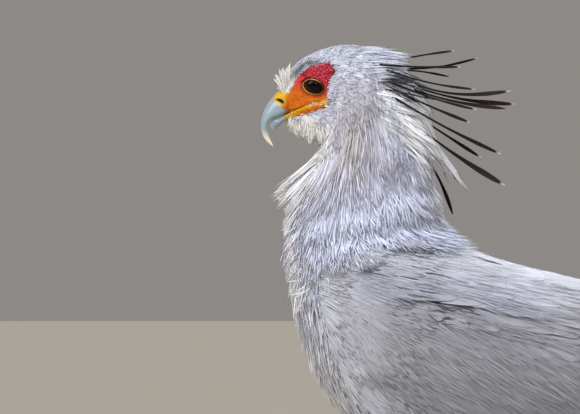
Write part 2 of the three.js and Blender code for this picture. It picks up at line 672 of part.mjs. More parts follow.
// The feathered thigh: flat ellipses down the shin, deep fore and aft above and close about it at the hem.
// Each station holds the half depth fore and aft and the half width.
const THIGH = [[38, 22], [50, 29], [50, 32], [42, 28], [32, 23.5], [23, 18.5], [16, 14]];
const THIGH_END = THIGH.length - 1;
const thighLine = flatLine(THIGH);
function thighSpot(leg, share, angle, out) {
  const size = thighLine(share * THIGH_END);
  const centre = leg.knee.clone().lerp(leg.hem, share);
  return centre.add(point(-(size.x + out) * Math.cos(angle), (size.z + out) * Math.sin(angle), 0));
}
const HEM_TIERS = [
  { from: 0.5, to: 0.86, count: 6, width: 27, rise: 5 },
  { from: 0.78, to: 1.11, count: 6, width: 18, rise: 2 },
];
function thigh(leg) {
  const sides = 14;
  const rings = steps(0, 1, THIGH_END).map((share) =>
    steps(0, 2 * Math.PI, sides).slice(1).map((angle) => thighSpot(leg, share, angle, 0)));
  const locks = HEM_TIERS.flatMap(({ from, to, count, width, rise }, tier) =>
    steps(0, 2 * Math.PI, count).slice(1).map((turn) => {
      const angle = turn + tier * 0.4;
      return vane((u, v, out) => thighSpot(leg, u, v, out), TUFT, {
        root: [from, angle], tip: [to + varied(0.03), angle], spread: [0, 1 / thighLine(from * THIGH_END).z],
        width, rise: [-3, rise + varied(0.8)], thick: 1.3,
      });
    }));
  return joined([loft(rings), ...locks]);
}

// The bare shin, the ankle and the long shank, whose front carries a row of broad raised scutes.
const SCUTES = { count: 10, step: 1, sides: 9 };
function shank(leg) {
  const shin = leg.hem.clone().sub(point(0, 0, GAP));
  const down = leg.foot.clone().add(point(0, 0, LEG.toeTop + GAP));
  const start = leg.ankle.clone().add(point(-1, 0, -22));
  const rings = [];
  const ring = (centre, radius, front) => rings.push(
    steps(0, 2 * Math.PI, SCUTES.sides).slice(1).map((angle) => {
      const ahead = Math.max(0, Math.cos(angle)) * front;
      const out = radius + ahead;
      return centre.clone().add(point(-out * 1.08 * Math.cos(angle), out * 0.95 * Math.sin(angle), 0));
    }));
  ring(shin, 8.5, 0);
  ring(shin.clone().lerp(leg.ankle, 0.55), 8.6, 0);
  ring(leg.ankle.clone().add(point(-1, 0, 11)), 11.5, 0);
  ring(leg.ankle.clone().add(point(0.5, 0, -2)), 12.6, 0);
  ring(start.clone().add(point(0, 0, 6)), 10.2, 0);
  steps(0, 1, SCUTES.count).slice(0, -1).forEach((share) => {
    const radius = mix(8.3, 7, Math.min(1, 3 * share)) + Math.max(0, share - 0.8) * 6;
    ring(start.clone().lerp(down, share * 0.95), radius, SCUTES.step);
    ring(start.clone().lerp(down, (share + 0.86 / SCUTES.count) * 0.95), radius, 0.2);
  });
  ring(down, 10, 0);
  return loft(rings);
}

const TOES = [
  { name: "inner", long: 40, turn: 34, thick: 6.2, claw: 19 },
  { name: "middle", long: 58, turn: 2, thick: 6.8, claw: 18 },
  { name: "outer", long: 44, turn: -32, thick: 6.2, claw: 17 },
  { name: "hind", long: 26, turn: 180, thick: 5.6, claw: 18 },
];

// A toe's direction over the ground. The inner toe turns towards the other foot.
function toeWay(leg, toe) {
  const angle = radians(toe.turn);
  return point(-Math.cos(angle), -leg.side * Math.sin(angle), 0);
}

function toeTube(leg, toe) {
  const way = toeWay(leg, toe);
  const heights = [8.5, toe.thick * 0.85, toe.thick * 0.9, toe.thick * 0.8];
  const radii = [8, toe.thick, toe.thick * 1.02, toe.thick * 0.76];
  const shares = [0, 0.45, 0.8, 1];
  const spots = shares.map((share, i) =>
    leg.foot.clone().addScaledVector(way, share * toe.long).add(point(0, 0, heights[i])));
  return tube(spots, radii, 7, point(0, 0, 1).cross(way));
}

function clawTube(leg, toe, from) {
  const way = toeWay(leg, toe);
  const spots = [0, 0.35, 0.7, 1].map((share) => {
    const along = toe.long + from + share * toe.claw;
    const height = mix(toe.thick * 0.8, 1.3, share * share);
    return leg.foot.clone().addScaledVector(way, along).add(point(0, 0, height));
  });
  return tube(spots, [3.6, 3, 2, 0.5], 5, point(0, 0, 1).cross(way));
}

function foot(leg) {
  const heel = tube(
    [leg.foot.clone().add(point(0, 0, -2)), leg.foot.clone().add(point(0, 0, LEG.toeTop))], [11, 10], 10);
  const whole = joined([heel, ...TOES.map((toe) => toeTube(leg, toe))]);
  return whole.subtract(block(leg.foot.x, leg.foot.y, GROUND - 20, 260, 260, 40));
}

// The room that the folded wing and its feathers take, which the thigh stays clear of.
const SHEATH = { stations: 16, low: 1.15, out: 30, deep: 34 };
SIDES.forEach(([word, side]) => {
  const leg = legOf(side);
  const stations = steps(0, WING_END, SHEATH.stations);
  const sheath = wingPlate(side, stations, 0, SHEATH.low, SHEATH.out, SHEATH.deep);
  addNode("thigh_" + word, thigh(leg).subtract(torsoGrown).subtract(sheath), LOOKS.black);
  addNode("shank_" + word, shank(leg), LOOKS.scale);
  addNode("foot_" + word, foot(leg), LOOKS.scale);
  TOES.forEach((toe) => addNode("claw_" + word + "_" + toe.name, clawTube(leg, toe, GAP), LOOKS.claw));
});

// The finished bird stands on the ground, with the middle of its plan at the origin.
const extent = new THREE.Box3().setFromObject(bird);
const middle = extent.getCenter(point(0, 0, 0));
bird.position.set(-middle.x, -middle.y, -extent.min.z);

export default bird;
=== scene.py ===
# %% [markdown]
# # A secretary bird in Blender
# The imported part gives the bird's place, size and solids. This lesson dresses it: one skin, eyes, bill and
# legs are modelled over the solids, and feathers grow on them row by row, each one a real piece of mesh.
# Lengths are thought of in millimetres from the middle of the left eye, as on a drawing of the head,
# and become metres in the frame only when a mesh is finished.

import math

import bmesh
import bpy
import numpy as np
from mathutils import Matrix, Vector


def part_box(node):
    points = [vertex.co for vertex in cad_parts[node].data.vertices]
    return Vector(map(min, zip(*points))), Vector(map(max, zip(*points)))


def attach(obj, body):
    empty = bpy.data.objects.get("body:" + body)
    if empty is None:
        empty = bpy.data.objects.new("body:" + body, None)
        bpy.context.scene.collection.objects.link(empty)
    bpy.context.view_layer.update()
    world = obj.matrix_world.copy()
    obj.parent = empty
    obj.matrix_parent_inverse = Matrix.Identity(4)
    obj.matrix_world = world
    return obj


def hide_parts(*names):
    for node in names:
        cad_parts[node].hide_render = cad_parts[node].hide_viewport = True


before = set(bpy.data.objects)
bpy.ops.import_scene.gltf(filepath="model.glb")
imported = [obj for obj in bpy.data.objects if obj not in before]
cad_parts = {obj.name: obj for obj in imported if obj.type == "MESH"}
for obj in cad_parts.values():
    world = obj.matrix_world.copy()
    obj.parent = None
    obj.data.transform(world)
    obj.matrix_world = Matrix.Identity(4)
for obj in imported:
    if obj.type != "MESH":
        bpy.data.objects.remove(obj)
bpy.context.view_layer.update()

# %% [markdown]
# The eyes tie this script to the solids: the drawing's zero is 1.8 mm behind the middle of the eyeball.

# %% Where the drawing's zero is in the frame
MM = 0.001
EYE_X = -1.8
low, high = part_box("eye_left")
ZERO = np.array([(low.x + high.x) / 2 - EYE_X * MM, 0.0, (low.z + high.z) / 2])
EYE_HEIGHT = ZERO[2] / MM
print("the drawing's zero is at", ZERO.round(4))


def to_frame(points):
    return np.asarray(points, float) * MM + ZERO


# %% [markdown]
# The body under the feathers is drawn as hoops from the forehead to the rump. Each hoop holds its back
# point (x, z), its belly point (x, z) and its half width. A smooth line runs through each column, so
# any place on the body has two numbers: how far along the hoops it is, and at which angle round them.

# %% The body's hoops
HOOPS = [
    [-32.3, -3.8, -22.8, -30.4, 9], [-28.5, 5.7, -20, -39, 12.5], [-21.9, 15.2, -14.3, -44.7, 17],
    [-12.4, 24.2, -6.7, -48.5, 21], [1, 31.4, 0, -51.3, 24.5], [17.1, 36.6, 5.7, -54, 27.5],
    [35.2, 38, 7.6, -58, 30], [55, 34.2, 3.8, -62.7, 32.5], [73, 26.6, -2.9, -69.4, 35],
    [84.6, 13.3, -8.6, -77, 37], [91, -5.7, -13.3, -87.4, 40], [97, -32.3, -17, -101.7, 44],
    [103.6, -65.6, -21.9, -121.6, 48], [110, -103.6, -24.7, -143.5, 53], [118.8, -135.9, -23.8, -168, 60],
    [143.5, -156.8, -20, -196.7, 69], [185, -172, -12.4, -233.7, 78], [232.8, -183.4, 4.8, -279.3, 84],
    [271, -193, 41, -323, 86], [309, -203, 98, -355, 84], [339, -215, 168, -367, 77],
    [361, -228, 238, -357, 64], [375, -243, 297, -331, 45], [383, -258, 339, -298, 24],
]
LAST_HOOP = len(HOOPS) - 1
EGG = 0.12  # how much wider a hoop is below its middle than above it


def through(stations, t):
    """A smooth line through stations, at place t, where station i is at i."""
    stations = np.asarray(stations, float)
    ends = np.vstack([2 * stations[:1] - stations[1:2], stations, 2 * stations[-1:] - stations[-2:-1]])
    t = np.clip(np.asarray(t, float), 0, len(stations) - 1)
    i = np.minimum(t.astype(int), len(stations) - 2)
    f = (t - i)[..., None]
    a, b, c, d = ends[i], ends[i + 1], ends[i + 2], ends[i + 3]
    return b + 0.5 * f * (c - a + f * (2 * a - 5 * b + 4 * c - d + f * (3 * (b - c) + d - a)))


def hoop_at(t):
    hoop = through(HOOPS, t)
    return (hoop[..., 0:2] + hoop[..., 2:4]) / 2, (hoop[..., 0:2] - hoop[..., 2:4]) / 2, hoop[..., 4]


def trunk(t, angle, out=0.0):
    """A point of the body: angle 0 is the back, pi the belly, and positive angles are on the left."""
    centre, rise, half = hoop_at(t)
    up = np.cos(angle) * (1 + out / np.linalg.norm(rise, axis=-1))
    side = (half + out) * np.sin(angle) * (1 - EGG * np.cos(angle))
    return np.stack([centre[..., 0] + rise[..., 0] * up, -side, centre[..., 1] + rise[..., 1] * up], -1)


print("the body has", len(HOOPS), "hoops")

# %% [markdown]
# The folded wing lies on the body's side, and runs on straight where the body ends. It has its own two
# numbers, x and z in side view, and this function finds how far out it stands there.

# %% The wing's surface
WING_TURN, WING_DROP, WING_NARROWING, WING_REACH, WING_LEAST = 255, 17, 0.42, 345, 50
WING_REAR = (280, 370)  # over this stretch the wing takes its least width
THROAT_HOOP, HALVINGS = 8.0, 18  # the body's side is sought from this hoop on, by halving
LOWEST, HIGHEST = -0.6, 0.92  # how far below and above a hoop's middle the side is followed


def smoothstep(value, start, end):
    share = np.clip((value - start) / (end - start), 0, 1)
    return share * share * (3 - 2 * share)


def side_at(x, z):
    """How far the body's side stands from the middle plane beside (x, z)."""
    x, z = np.broadcast_arrays(np.asarray(x, float), np.asarray(z, float))
    first, last = np.full(x.shape, THROAT_HOOP), np.full(x.shape, float(LAST_HOOP))
    for _ in range(HALVINGS):
        t = (first + last) / 2
        centre, rise, half = hoop_at(t)
        ahead = (x - centre[..., 0]) * rise[..., 1] - (z - centre[..., 1]) * rise[..., 0]
        first, last = np.where(ahead > 0, t, first), np.where(ahead > 0, last, t)
    height = (x - centre[..., 0]) * rise[..., 0] + (z - centre[..., 1]) * rise[..., 1]
    height = np.clip(height / (rise ** 2).sum(-1), LOWEST, HIGHEST)
    return half * np.sqrt(1 - height ** 2) * (1 - EGG * height)


def wing_side(side):
    def wing(x, z, out=0.0):
        past = np.maximum(0, x - WING_TURN)
        risen = z + past * math.tan(math.radians(WING_DROP))
        width = side_at(np.minimum(x, WING_TURN), risen) * (1 - WING_NARROWING * past / WING_REACH)
        width = np.maximum(width, WING_LEAST * smoothstep(x, *WING_REAR))
        return np.stack([x + 0 * width, side * (width + out), z + 0 * width], -1)
    return wing


# %% [markdown]
# Feathers are small and many, so they are made from arrays of numbers. Each one starts at a root on a
# surface, follows the surface in its heading, lifts a little from it, and runs on straight where it is
# stiff and the body turns away. Round this line a section is laid: three edges for a hair-like barb,
# or a thin cupped plate for a broad vane.

# %% Centre lines that follow a surface
LEAST_PACE = 0.2  # keeps a step finite where a surface closes to a point


def unit(vectors):
    return vectors / np.maximum(np.linalg.norm(vectors, axis=-1, keepdims=True), 1e-9)


def per_feather(values, count):
    """One number for all feathers, or one for each, in the shape that multiplies their points."""
    return np.broadcast_to(values, count).reshape(-1, 1, 1)


def follow(surface, steps, u, v, heading, length, shares, lift, stiff=0.0, power=1.5):
    """Lines of feathers from roots (u, v). Gives their points and the surface's normals, row by row.
    Lift is how far root and tip stand off. With a higher power a feather stays down for longer."""
    eu, ev = steps
    u, v = np.array(u, float), np.array(v, float)
    points, normals = [], []
    for row, share in enumerate(shares):
        here = surface(u, v, 0.0)
        du, dv = (surface(u + eu, v, 0.0) - here) / eu, (surface(u, v + ev, 0.0) - here) / ev
        normal = unit(np.cross(du, dv))
        outward = surface(u, v, 1.0) - here
        points.append(here)
        normals.append(normal * np.sign((normal * outward).sum(-1).mean()))
        if row + 1 < len(shares):
            step = length * (shares[row + 1] - share)
            u = u + step * np.cos(heading) / np.maximum(np.linalg.norm(du, axis=-1), LEAST_PACE)
            v = v + step * np.sin(heading) / np.maximum(np.linalg.norm(dv, axis=-1), LEAST_PACE)
    points, normals = np.stack(points, 1), np.stack(normals, 1)
    count, shares = len(points), np.asarray(shares)[None, :, None]
    start = unit(points[:, 1] - points[:, 0])[:, None]
    straight = points[:, :1] + start * shares * per_feather(length, count)
    clear = ((straight[:, -1] - points[:, -1]) * normals[:, -1]).sum(-1) > 0
    bend = per_feather(stiff * clear, count) * shares
    points = points * (1 - bend) + straight * bend
    root, tip = per_feather(lift[0], count), per_feather(lift[1], count)
    return points + normals * (root + (tip - root) * shares ** power), normals


# %% Sections round the lines
BARB = [(-1, 0), (0, 1), (1, 0)]  # across and up, as shares of the half width and the thickness


def barb_mesh(points, normals, width, thick, outline):
    """Slender closed strands: each row has three corners, and the last row is the tip."""
    count, rows = points.shape[:2]
    across = unit(np.cross(normals, unit(np.gradient(points, axis=1))))
    outline = np.asarray(outline)[None, :, None]
    half, deep = per_feather(width, count) * outline / 2, per_feather(thick, count) * outline
    corners = np.stack([points + across * half * w + normals * deep * h for w, h in BARB], 2)
    body = corners[:, :-1].reshape(count, -1, 3)
    vertices = np.concatenate([body, points[:, -1:]], 1)
    faces = [(0, 1, 2, 2)]
    for row in range(rows - 2):
        a = 3 * row
        faces += [(a + k, a + 3 + k, a + 3 + (k + 1) % 3, a + (k + 1) % 3) for k in range(3)]
    a, tip = 3 * (rows - 2), 3 * (rows - 1)
    faces += [(a + k, tip, a + (k + 1) % 3, a + (k + 1) % 3) for k in range(3)]
    shares = np.linspace(0, 1, rows)
    place = [(shares[r], w) for r in range(rows - 1) for w, _ in BARB] + [(1.0, 0.0)]
    return vertices, faces, np.array(place)


def strands(surface, steps, u, v, heading, length, form, lift, width, thick, stiff=0.0, power=1.5):
    """Hair-like feathers that follow a surface. A form is the shares along one and its outline there."""
    points, normals = follow(surface, steps, u, v, heading, length, form[0], lift, stiff, power)
    return barb_mesh(points, normals, width, thick, form[1])


def vane_mesh(points, normals, width, thick, outline, columns, cup, roll=0.0, ridge=0.0):
    """Broad thin feathers: a cupped upper face, a lower face and a rim between them."""
    count, rows = points.shape[:2]
    across = unit(np.cross(normals, unit(np.gradient(points, axis=1))))
    roll = per_feather(np.asarray(roll, float), count)
    across, normals = (across * np.cos(roll) + normals * np.sin(roll),
                       normals * np.cos(roll) - across * np.sin(roll))
    half = per_feather(width, count) * np.asarray(outline)[None, :, None] / 2
    sheets = []
    for level in (0, 1):
        for w in columns:
            height = cup * half * (1 - w * w) + ridge * max(0, 1 - 4 * abs(w)) - level * thick
            sheets.append(points + across * half * w + normals * height)
    wide = len(columns)
    vertices = np.stack(sheets, 2).reshape(count, -1, 3)
    faces = []
    for row in range(rows - 1):
        a, b = 2 * wide * row, 2 * wide * (row + 1)
        for k in range(wide - 1):
            faces.append((a + k, a + k + 1, b + k + 1, b + k))
            faces.append((a + wide + k, b + wide + k, b + wide + k + 1, a + wide + k + 1))
        faces.append((a, b, b + wide, a + wide))
        faces.append((a + wide - 1, a + 2 * wide - 1, b + 2 * wide - 1, b + wide - 1))
    for a, turn in ((0, 1), (2 * wide * (rows - 1), -1)):
        for k in range(wide - 1):
            faces.append((a + k, a + wide + k, a + wide + k + 1, a + k + 1)[::turn])
    shares = np.linspace(0, 1, rows)
    place = [(s, w) for s in shares for _ in (0, 1) for w in columns]
    return vertices, faces, np.array(place)


# %% [markdown]
# A coat is one object made of many such feathers. It carries three things for its finish: the colour of
# the place where each feather grows, where on the feather a point is, and a shade of its own. Its map
# OFBake puts each feather as a tiny patch at its root's place on the flattened body.

# %% Joining feathers into one piece
PATCH = 0.003  # the size of a feather's place on the flattened body
ALL_ACROSS, ALL_ALONG = 0.99, 0.999  # past these shares a corner is on a feather's rim


def smooth(mesh):
    mesh.polygons.foreach_set("use_smooth", np.ones(len(mesh.polygons), bool))


def store_vectors(mesh, name, vectors):
    mesh.attributes.new(name, "FLOAT_VECTOR", "POINT").data.foreach_set("vector", vectors.ravel())


def store_tint(mesh, tints):
    colours = np.concatenate([tints, np.ones((len(tints), 1))], 1)
    mesh.attributes.new("tint", "FLOAT_COLOR", "POINT").data.foreach_set("color", colours.ravel())


class Coat:
    def __init__(self):
        self.parts = []

    def add(self, shape, flat, tint, shade):
        vertices, faces, place = shape
        self.parts.append((vertices, faces, place, np.asarray(flat), np.asarray(tint), np.asarray(shade)))

    def build(self, name, finish, slot, *nodes):
        points, quads, triangles, lie, tints, flats = [], [], [], [], [], []
        total = 0
        for vertices, faces, place, flat, tint, shade in self.parts:
            count, size = vertices.shape[:2]
            offsets = total + size * np.arange(count)[:, None, None]
            quad = np.array([f for f in faces if f[2] != f[3]]).reshape(-1, 4)
            triangle = np.array([f[:3] for f in faces if f[2] == f[3]]).reshape(-1, 3)
            quads += (quad[None] + offsets).reshape(-1, 4).tolist()
            triangles += (triangle[None] + offsets).reshape(-1, 3).tolist()
            points.append(vertices.reshape(-1, 3))
            one = np.broadcast_to(place[None], (count, size, 2))
            own = np.broadcast_to(shade[:, None, None], (count, size, 1))
            lie.append(np.concatenate([one, own], 2).reshape(-1, 3))
            tint = tint if tint.ndim == 3 else tint[:, None]
            tints.append(np.broadcast_to(tint, (count, size, 3)).reshape(-1, 3))
            patch = np.stack([one[..., 1] / 2, one[..., 0] - 0.5], -1) * PATCH
            flats.append((flat[:, None] + patch).reshape(-1, 2))
            total += count * size
        mesh = bpy.data.meshes.new(name)
        mesh.from_pydata(to_frame(np.concatenate(points)).tolist(), [], quads + triangles)
        lie, tints, flats = map(np.concatenate, (lie, tints, flats))
        store_vectors(mesh, "feather", lie)
        store_tint(mesh, tints)
        corner = np.empty(len(mesh.loops), np.int32)
        mesh.loops.foreach_get("vertex_index", corner)
        mesh.uv_layers.new(name="OFBake").data.foreach_set("uv", flats[corner].astype(np.float32).ravel())
        smooth(mesh)
        crease_rims(mesh, lie)
        piece = bpy.data.objects.new(name, mesh)
        bpy.context.scene.collection.objects.link(piece)
        print(name, "has", sum(len(part[0]) for part in self.parts), "feathers and",
              2 * len(quads) + len(triangles), "triangles")
        return dress(piece, finish, slot, *nodes)


def crease_rims(mesh, lie):
    """Marks the rims of the feathers as sharp, so that their flat faces are not shaded as if round."""
    ends = np.empty(2 * len(mesh.edges), np.int32)
    mesh.edges.foreach_get("vertices", ends)
    along, across = lie[ends, 0].reshape(-1, 2), np.abs(lie[ends, 1]).reshape(-1, 2)
    rim = (across > ALL_ACROSS).all(1) | (along > ALL_ALONG).all(1) | (along < 1 - ALL_ALONG).all(1)
    mesh.attributes.new("sharp_edge", "BOOLEAN", "EDGE").data.foreach_set("value", rim)


def dress(piece, finish, slot, *nodes):
    """Gives a finished piece its material, hangs it on the root and hides the solids it takes the place of.
    """
    piece.data.materials.clear()
    piece.data.materials.append(finish)
    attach(piece, "root")
    if nodes:
        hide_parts(*nodes)
    return piece


# %% Choosing where feathers grow
CANDIDATES = 5  # places tried for each feather
WAVES, WAVE_SUM = 5, 2.2  # a random field is a sum of waves, divided by a height that it seldom passes


def dice(seed, side=-1):
    """Seeded random numbers, with a seed of their own for the right side."""
    return np.random.default_rng(seed + (side > 0))


def scatter(surface, steps, u_range, v_range, count, rng, keep=None):
    """Random roots, spread evenly over the area of a surface, where keep is true."""
    u = rng.uniform(*u_range, CANDIDATES * count)
    v = rng.uniform(*v_range, CANDIDATES * count)
    here = surface(u, v, 0.0)
    du = np.linalg.norm(surface(u + steps[0], v, 0.0) - here, axis=-1)
    dv = np.linalg.norm(surface(u, v + steps[1], 0.0) - here, axis=-1)
    share = du * dv
    if keep is not None:
        share = share * keep(u, v, here)
    chosen = rng.choice(len(u), min(count, int((share > 0).sum())), replace=False, p=share / share.sum())
    return u[chosen], v[chosen], here[chosen]


def ripple(a, b, size, seed):
    """A smooth random field from -1 to 1, so that neighbouring feathers move together in locks."""
    rng = dice(seed)
    total = 0
    for _ in range(WAVES):
        turn, start = rng.uniform(0, 2 * np.pi, 2)
        pitch = 2 * np.pi / (size * rng.uniform(0.7, 1.5))
        total = total + np.sin((a * np.cos(turn) + b * np.sin(turn)) * pitch + start)
    return np.clip(total / WAVE_SUM, -1, 1)


def read_off(line, value):
    """The second number of a drawn line at a value of its first."""
    return np.interp(value, *zip(*line))


# %% [markdown]
# Finishes are written as sums. A value wraps one socket of a node, and adding or multiplying it adds the
# Math node that does so. Every other node comes from one method, so a finish reads like a short recipe.

# %% Shader sums
class Value:
    def __init__(self, finish, socket):
        self.finish, self.socket = finish, socket

    def math(self, operation, *others):
        return self.finish.node("Math", {"operation": operation}, dict(enumerate((self, *others))))

    def __add__(self, other):
        return self.math("ADD", other)

    def __sub__(self, other):
        return self.math("SUBTRACT", other)

    def __mul__(self, other):
        return self.math("MULTIPLY", other)

    def __truediv__(self, other):
        return self.math("DIVIDE", other)

    def __rsub__(self, other):
        return self.finish.node("Math", {"operation": "SUBTRACT"}, {0: other, 1: self})

    def __pow__(self, other):
        return self.math("POWER", other)

    __radd__, __rmul__ = __add__, __mul__

    def rise(self, start, end):
        """0 before start and 1 after end, with a soft step between them."""
        return self.finish.node("MapRange", {"interpolation_type": "SMOOTHSTEP"},
                                {"Value": self, "From Min": start, "From Max": end})


def colour(red, green, blue):
    """A colour given as it looks on a screen, from 0 to 255, turned into light."""
    shares = np.array([red, green, blue]) / 255
    return tuple(np.where(shares <= 0.04045, shares / 12.92, ((shares + 0.055) / 1.055) ** 2.4))


class Finish:
    def __init__(self, name, **constants):
        self.material = bpy.data.materials.new(name)
        self.material.use_nodes = True
        self.tree = self.material.node_tree
        self.shader = self.tree.nodes["Principled BSDF"]
        for words, value in constants.items():
            self.shader.inputs[words.replace("_", " ")].default_value = value

    def feed(self, socket, value):
        if isinstance(value, Value):
            self.tree.links.new(value.socket, socket)
        elif isinstance(value, tuple) and socket.type == "RGBA":
            socket.default_value = (*value, 1)
        else:
            socket.default_value = value

    def node(self, kind, settings=None, inputs=None, out=0):
        made = self.tree.nodes.new("ShaderNode" + kind)
        for key, value in (settings or {}).items():
            setattr(made, key, value)
        for key, value in (inputs or {}).items():
            self.feed(made.inputs[key], value)
        return Value(self, made.outputs[out])

    def parts(self, vector):
        return [self.node("SeparateXYZ", None, {0: vector}, k) for k in range(3)]

    def attribute(self, name, out):
        return self.node("Attribute", {"attribute_name": name}, None, out)

    def place(self):
        """Where a point is on the drawing, in millimetres from the drawing's zero."""
        shift = tuple(-ZERO / MM)
        return self.node("Mapping", None, {"Vector": self.node("TexCoord", None, None, "Object"),
                                           "Location": shift, "Scale": (1 / MM,) * 3})

    def noise(self, scale, detail=2.0, vector=None, stretch=(1, 1, 1)):
        vector = vector or self.place()
        vector = self.node("Mapping", None, {"Vector": vector, "Scale": stretch})
        return self.node("TexNoise", None, {"Vector": vector, "Scale": scale, "Detail": detail})

    def mix(self, first, second, share, way="MIX"):
        return self.node("Mix", {"data_type": "RGBA", "blend_type": way}, {0: share, 6: first, 7: second}, 2)

    def grey(self, value):
        return self.node("CombineColor", None, {0: value, 1: value, 2: value})

    def finish(self, base, roughness=None, height=None, strength=0.5, depth=0.0004, coat=None):
        self.feed(self.shader.inputs["Base Color"], base)
        if roughness is not None:
            self.feed(self.shader.inputs["Roughness"], roughness)
        if coat is not None:
            self.feed(self.shader.inputs["Coat Weight"], coat)
        if height is not None:
            bump = self.node("Bump", None, {"Height": height, "Strength": strength, "Distance": depth})
            self.feed(self.shader.inputs["Normal"], bump)
        return self.material


# %% [markdown]
# The plumage is one recipe with a few settings. The colour comes from where the feather grows. Barbs run
# out from the shaft in fine slanting lines, edges wear paler, and each feather has a shade of its own.

# %% The feathers' finish
FULL_TURN = 6.283


def plumage(name, barbs, barb_depth, fringe, shaft, spread=0.16, sheen=0.2, gloss=0.6, edge=(1, 1, 1),
            shine=0.3):
    """Barbs are the lines that cross a feather, fringe is how far its rim takes the edge's colour, shaft
    how much paler its stem is, and spread how far the feathers differ from each other."""
    look = Finish(name, Specular_IOR_Level=shine, Sheen_Weight=sheen, Sheen_Roughness=0.45)
    along, across, shade = look.parts(look.attribute("feather", "Vector"))
    tint = look.attribute("tint", "Color")
    aside = across.math("ABSOLUTE")
    lines = ((along * barbs - aside * 6 + shade * 9) * FULL_TURN).math("SINE") * 0.5 + 0.5
    mottle = look.noise(0.06, 3.0)
    tone = 1 - spread + shade * spread * 1.4 + (mottle - 0.5) * 0.16 - lines * barb_depth
    stem = 1 - aside.rise(0.02, 0.14)
    tone = tone * (1 + stem * shaft)
    base = look.mix(tint, look.grey(tone), 1.0, "MULTIPLY")
    rim = (aside.rise(0.72, 0.98) + along.rise(0.86, 0.99)).math("MINIMUM", 1.0) * fringe
    base = look.mix(base, edge, rim)
    return look.finish(base, mottle * 0.2 + gloss, lines * 0.6 + stem, 0.35, 0.00025)


PALE_PLUMAGE = plumage("pale_plumage", 0, 0.0, 0.0, 0.0, spread=0.38, sheen=0.3)
VANE_PLUMAGE = plumage("vane_plumage", 26, 0.06, 0.16, -0.06, spread=0.08, edge=colour(214, 218, 232))
WING_PLUMAGE = plumage("wing_plumage", 34, 0.08, 0.1, -0.1, spread=0.2, sheen=0.15,
                       edge=colour(196, 197, 206))
DARK_PLUMAGE = plumage("dark_plumage", 40, 0.3, 0.0, -0.4, sheen=0.0, gloss=0.42, shine=0.16)
print("the feathers have four finishes")

# %% [markdown]
# Colours over the body: the neck and the crown are pale and bluish, the beard and the forelock creamy
# and the nape plumes white. Painted shadow darkens a strip along the brow behind the forelock and a band
# under the neck's hem, and the belly darkens to black between the legs. Each colour is laid over the last
# with the share that it covers.

# %% Where each colour lies
CROWN, CHEEK, BEARD = colour(211, 215, 231), colour(194, 190, 200), colour(232, 229, 227)
NECK, NAPE, BREAST = colour(213, 217, 239), colour(236, 237, 242), colour(198, 202, 219)
FLANK, MANTLE, SHADED = colour(210, 209, 215), colour(238, 241, 250), colour(66, 67, 78)
WISP, EAR, BROW_SHADE = colour(230, 229, 234), colour(180, 170, 168), colour(88, 84, 88)
SOOT = colour(34, 31, 32)
HEM_LINE, HEM_SLOPE, HEM_BEND = -176, 1.2, 53  # the hem's shadow: its height, its rise and where that starts


def plain(tint, count):
    return np.tile(np.array(tint), (count, 1))


def layered(base, *layers):
    """Lays colours over a base one by one, each with the share that it covers at each point."""
    tint = plain(base, len(layers[0][1]))
    for over, share in layers:
        tint = tint + (np.asarray(over) - tint) * share[:, None]
    return tint


def near(x, z, middle, reach):
    """1 at a place in side view, and less around it."""
    return np.exp(-((x - middle[0]) ** 2 + (z - middle[1]) ** 2) / reach ** 2)


def hem_shade(x, z):
    """How deep a place lies in the shadow under the neck's ragged hem."""
    line = HEM_LINE + np.clip(HEM_SLOPE * (x - HEM_BEND), 0, 16)
    return np.exp(-((z - line) / 4) ** 2) * smoothstep(x, 26, 46) * smoothstep(-x, -122, -98)


def body_tint(spots):
    """The colour of the plumage at points (x, y, z) in millimetres on the drawing."""
    x, y, z = np.asarray(spots).T
    drift = ripple(x + y, z - y, 60, 5) * 6
    # A strip of painted shadow along the brow, behind the forelock.
    brow = np.exp(-((np.hypot(x - 1, z + 6) - 26.6) / 2.9) ** 2)
    brow = brow * smoothstep(-x, -8, 8) * smoothstep(z, -4, 4)
    return layered(
        NECK,
        (CROWN, smoothstep(z + 0.1 * x + drift, -20, 12)),
        (CHEEK, near(x, z, (32, -20), 30)),
        (EAR, near(x, z, (37, -26), 13) * 0.6),
        (BEARD, smoothstep(-z - 0.35 * x, 24, 36) * smoothstep(z, -66, -54) * smoothstep(-x, -24, -6)),
        (BEARD, smoothstep(-x - 0.4 * z, 18, 26) * smoothstep(z, -20, -8)),
        # painted shadow along the brow
        (BROW_SHADE, brow * smoothstep(np.abs(y), 1, 5) * 0.9),
        (NAPE, smoothstep(x + drift, 88, 108) * smoothstep(z, -112, -90) * smoothstep(-z, -8, 20)),
        (BREAST, smoothstep(-z, 130, 170)),
        (MANTLE, smoothstep(x + 0.6 * (z + 150), 90, 130) * smoothstep(-z, 120, 150)),
        (FLANK, smoothstep(-z, 180, 270) * smoothstep(-x, -70, 10)),
        (SHADED, hem_shade(x, z) * 0.95),
        (FLANK, smoothstep(-z, 290, 330)),
        (SOOT, smoothstep(-z + drift, 330, 352) * smoothstep(x, 70, 120) * smoothstep(-x, -300, -250)),
    )


# %% [markdown]
# The bare forms are modelled by hand: a ring is drawn, filled, and extruded from one station of the form
# to the next, where it is turned, scaled and moved into place. Subdivision then rounds the steps.
# With no window open, Blender turns things the other way round, so the angle's sign is changed.

# %% Sweeping a ring along stations
def alone():
    if bpy.context.object and bpy.context.object.mode != "OBJECT":
        bpy.ops.object.mode_set(mode="OBJECT")
    bpy.ops.object.select_all(action="DESELECT")


def applied(piece, kind, **settings):
    alone()
    bpy.context.view_layer.objects.active = piece
    piece.select_set(True)
    modifier = piece.modifiers.new(kind.title(), kind)
    for key, value in settings.items():
        setattr(modifier, key, value)
    bpy.ops.object.modifier_apply(modifier=modifier.name)


def rounded(piece, levels):
    applied(piece, "SUBSURF", levels=levels, render_levels=levels)
    smooth(piece.data)


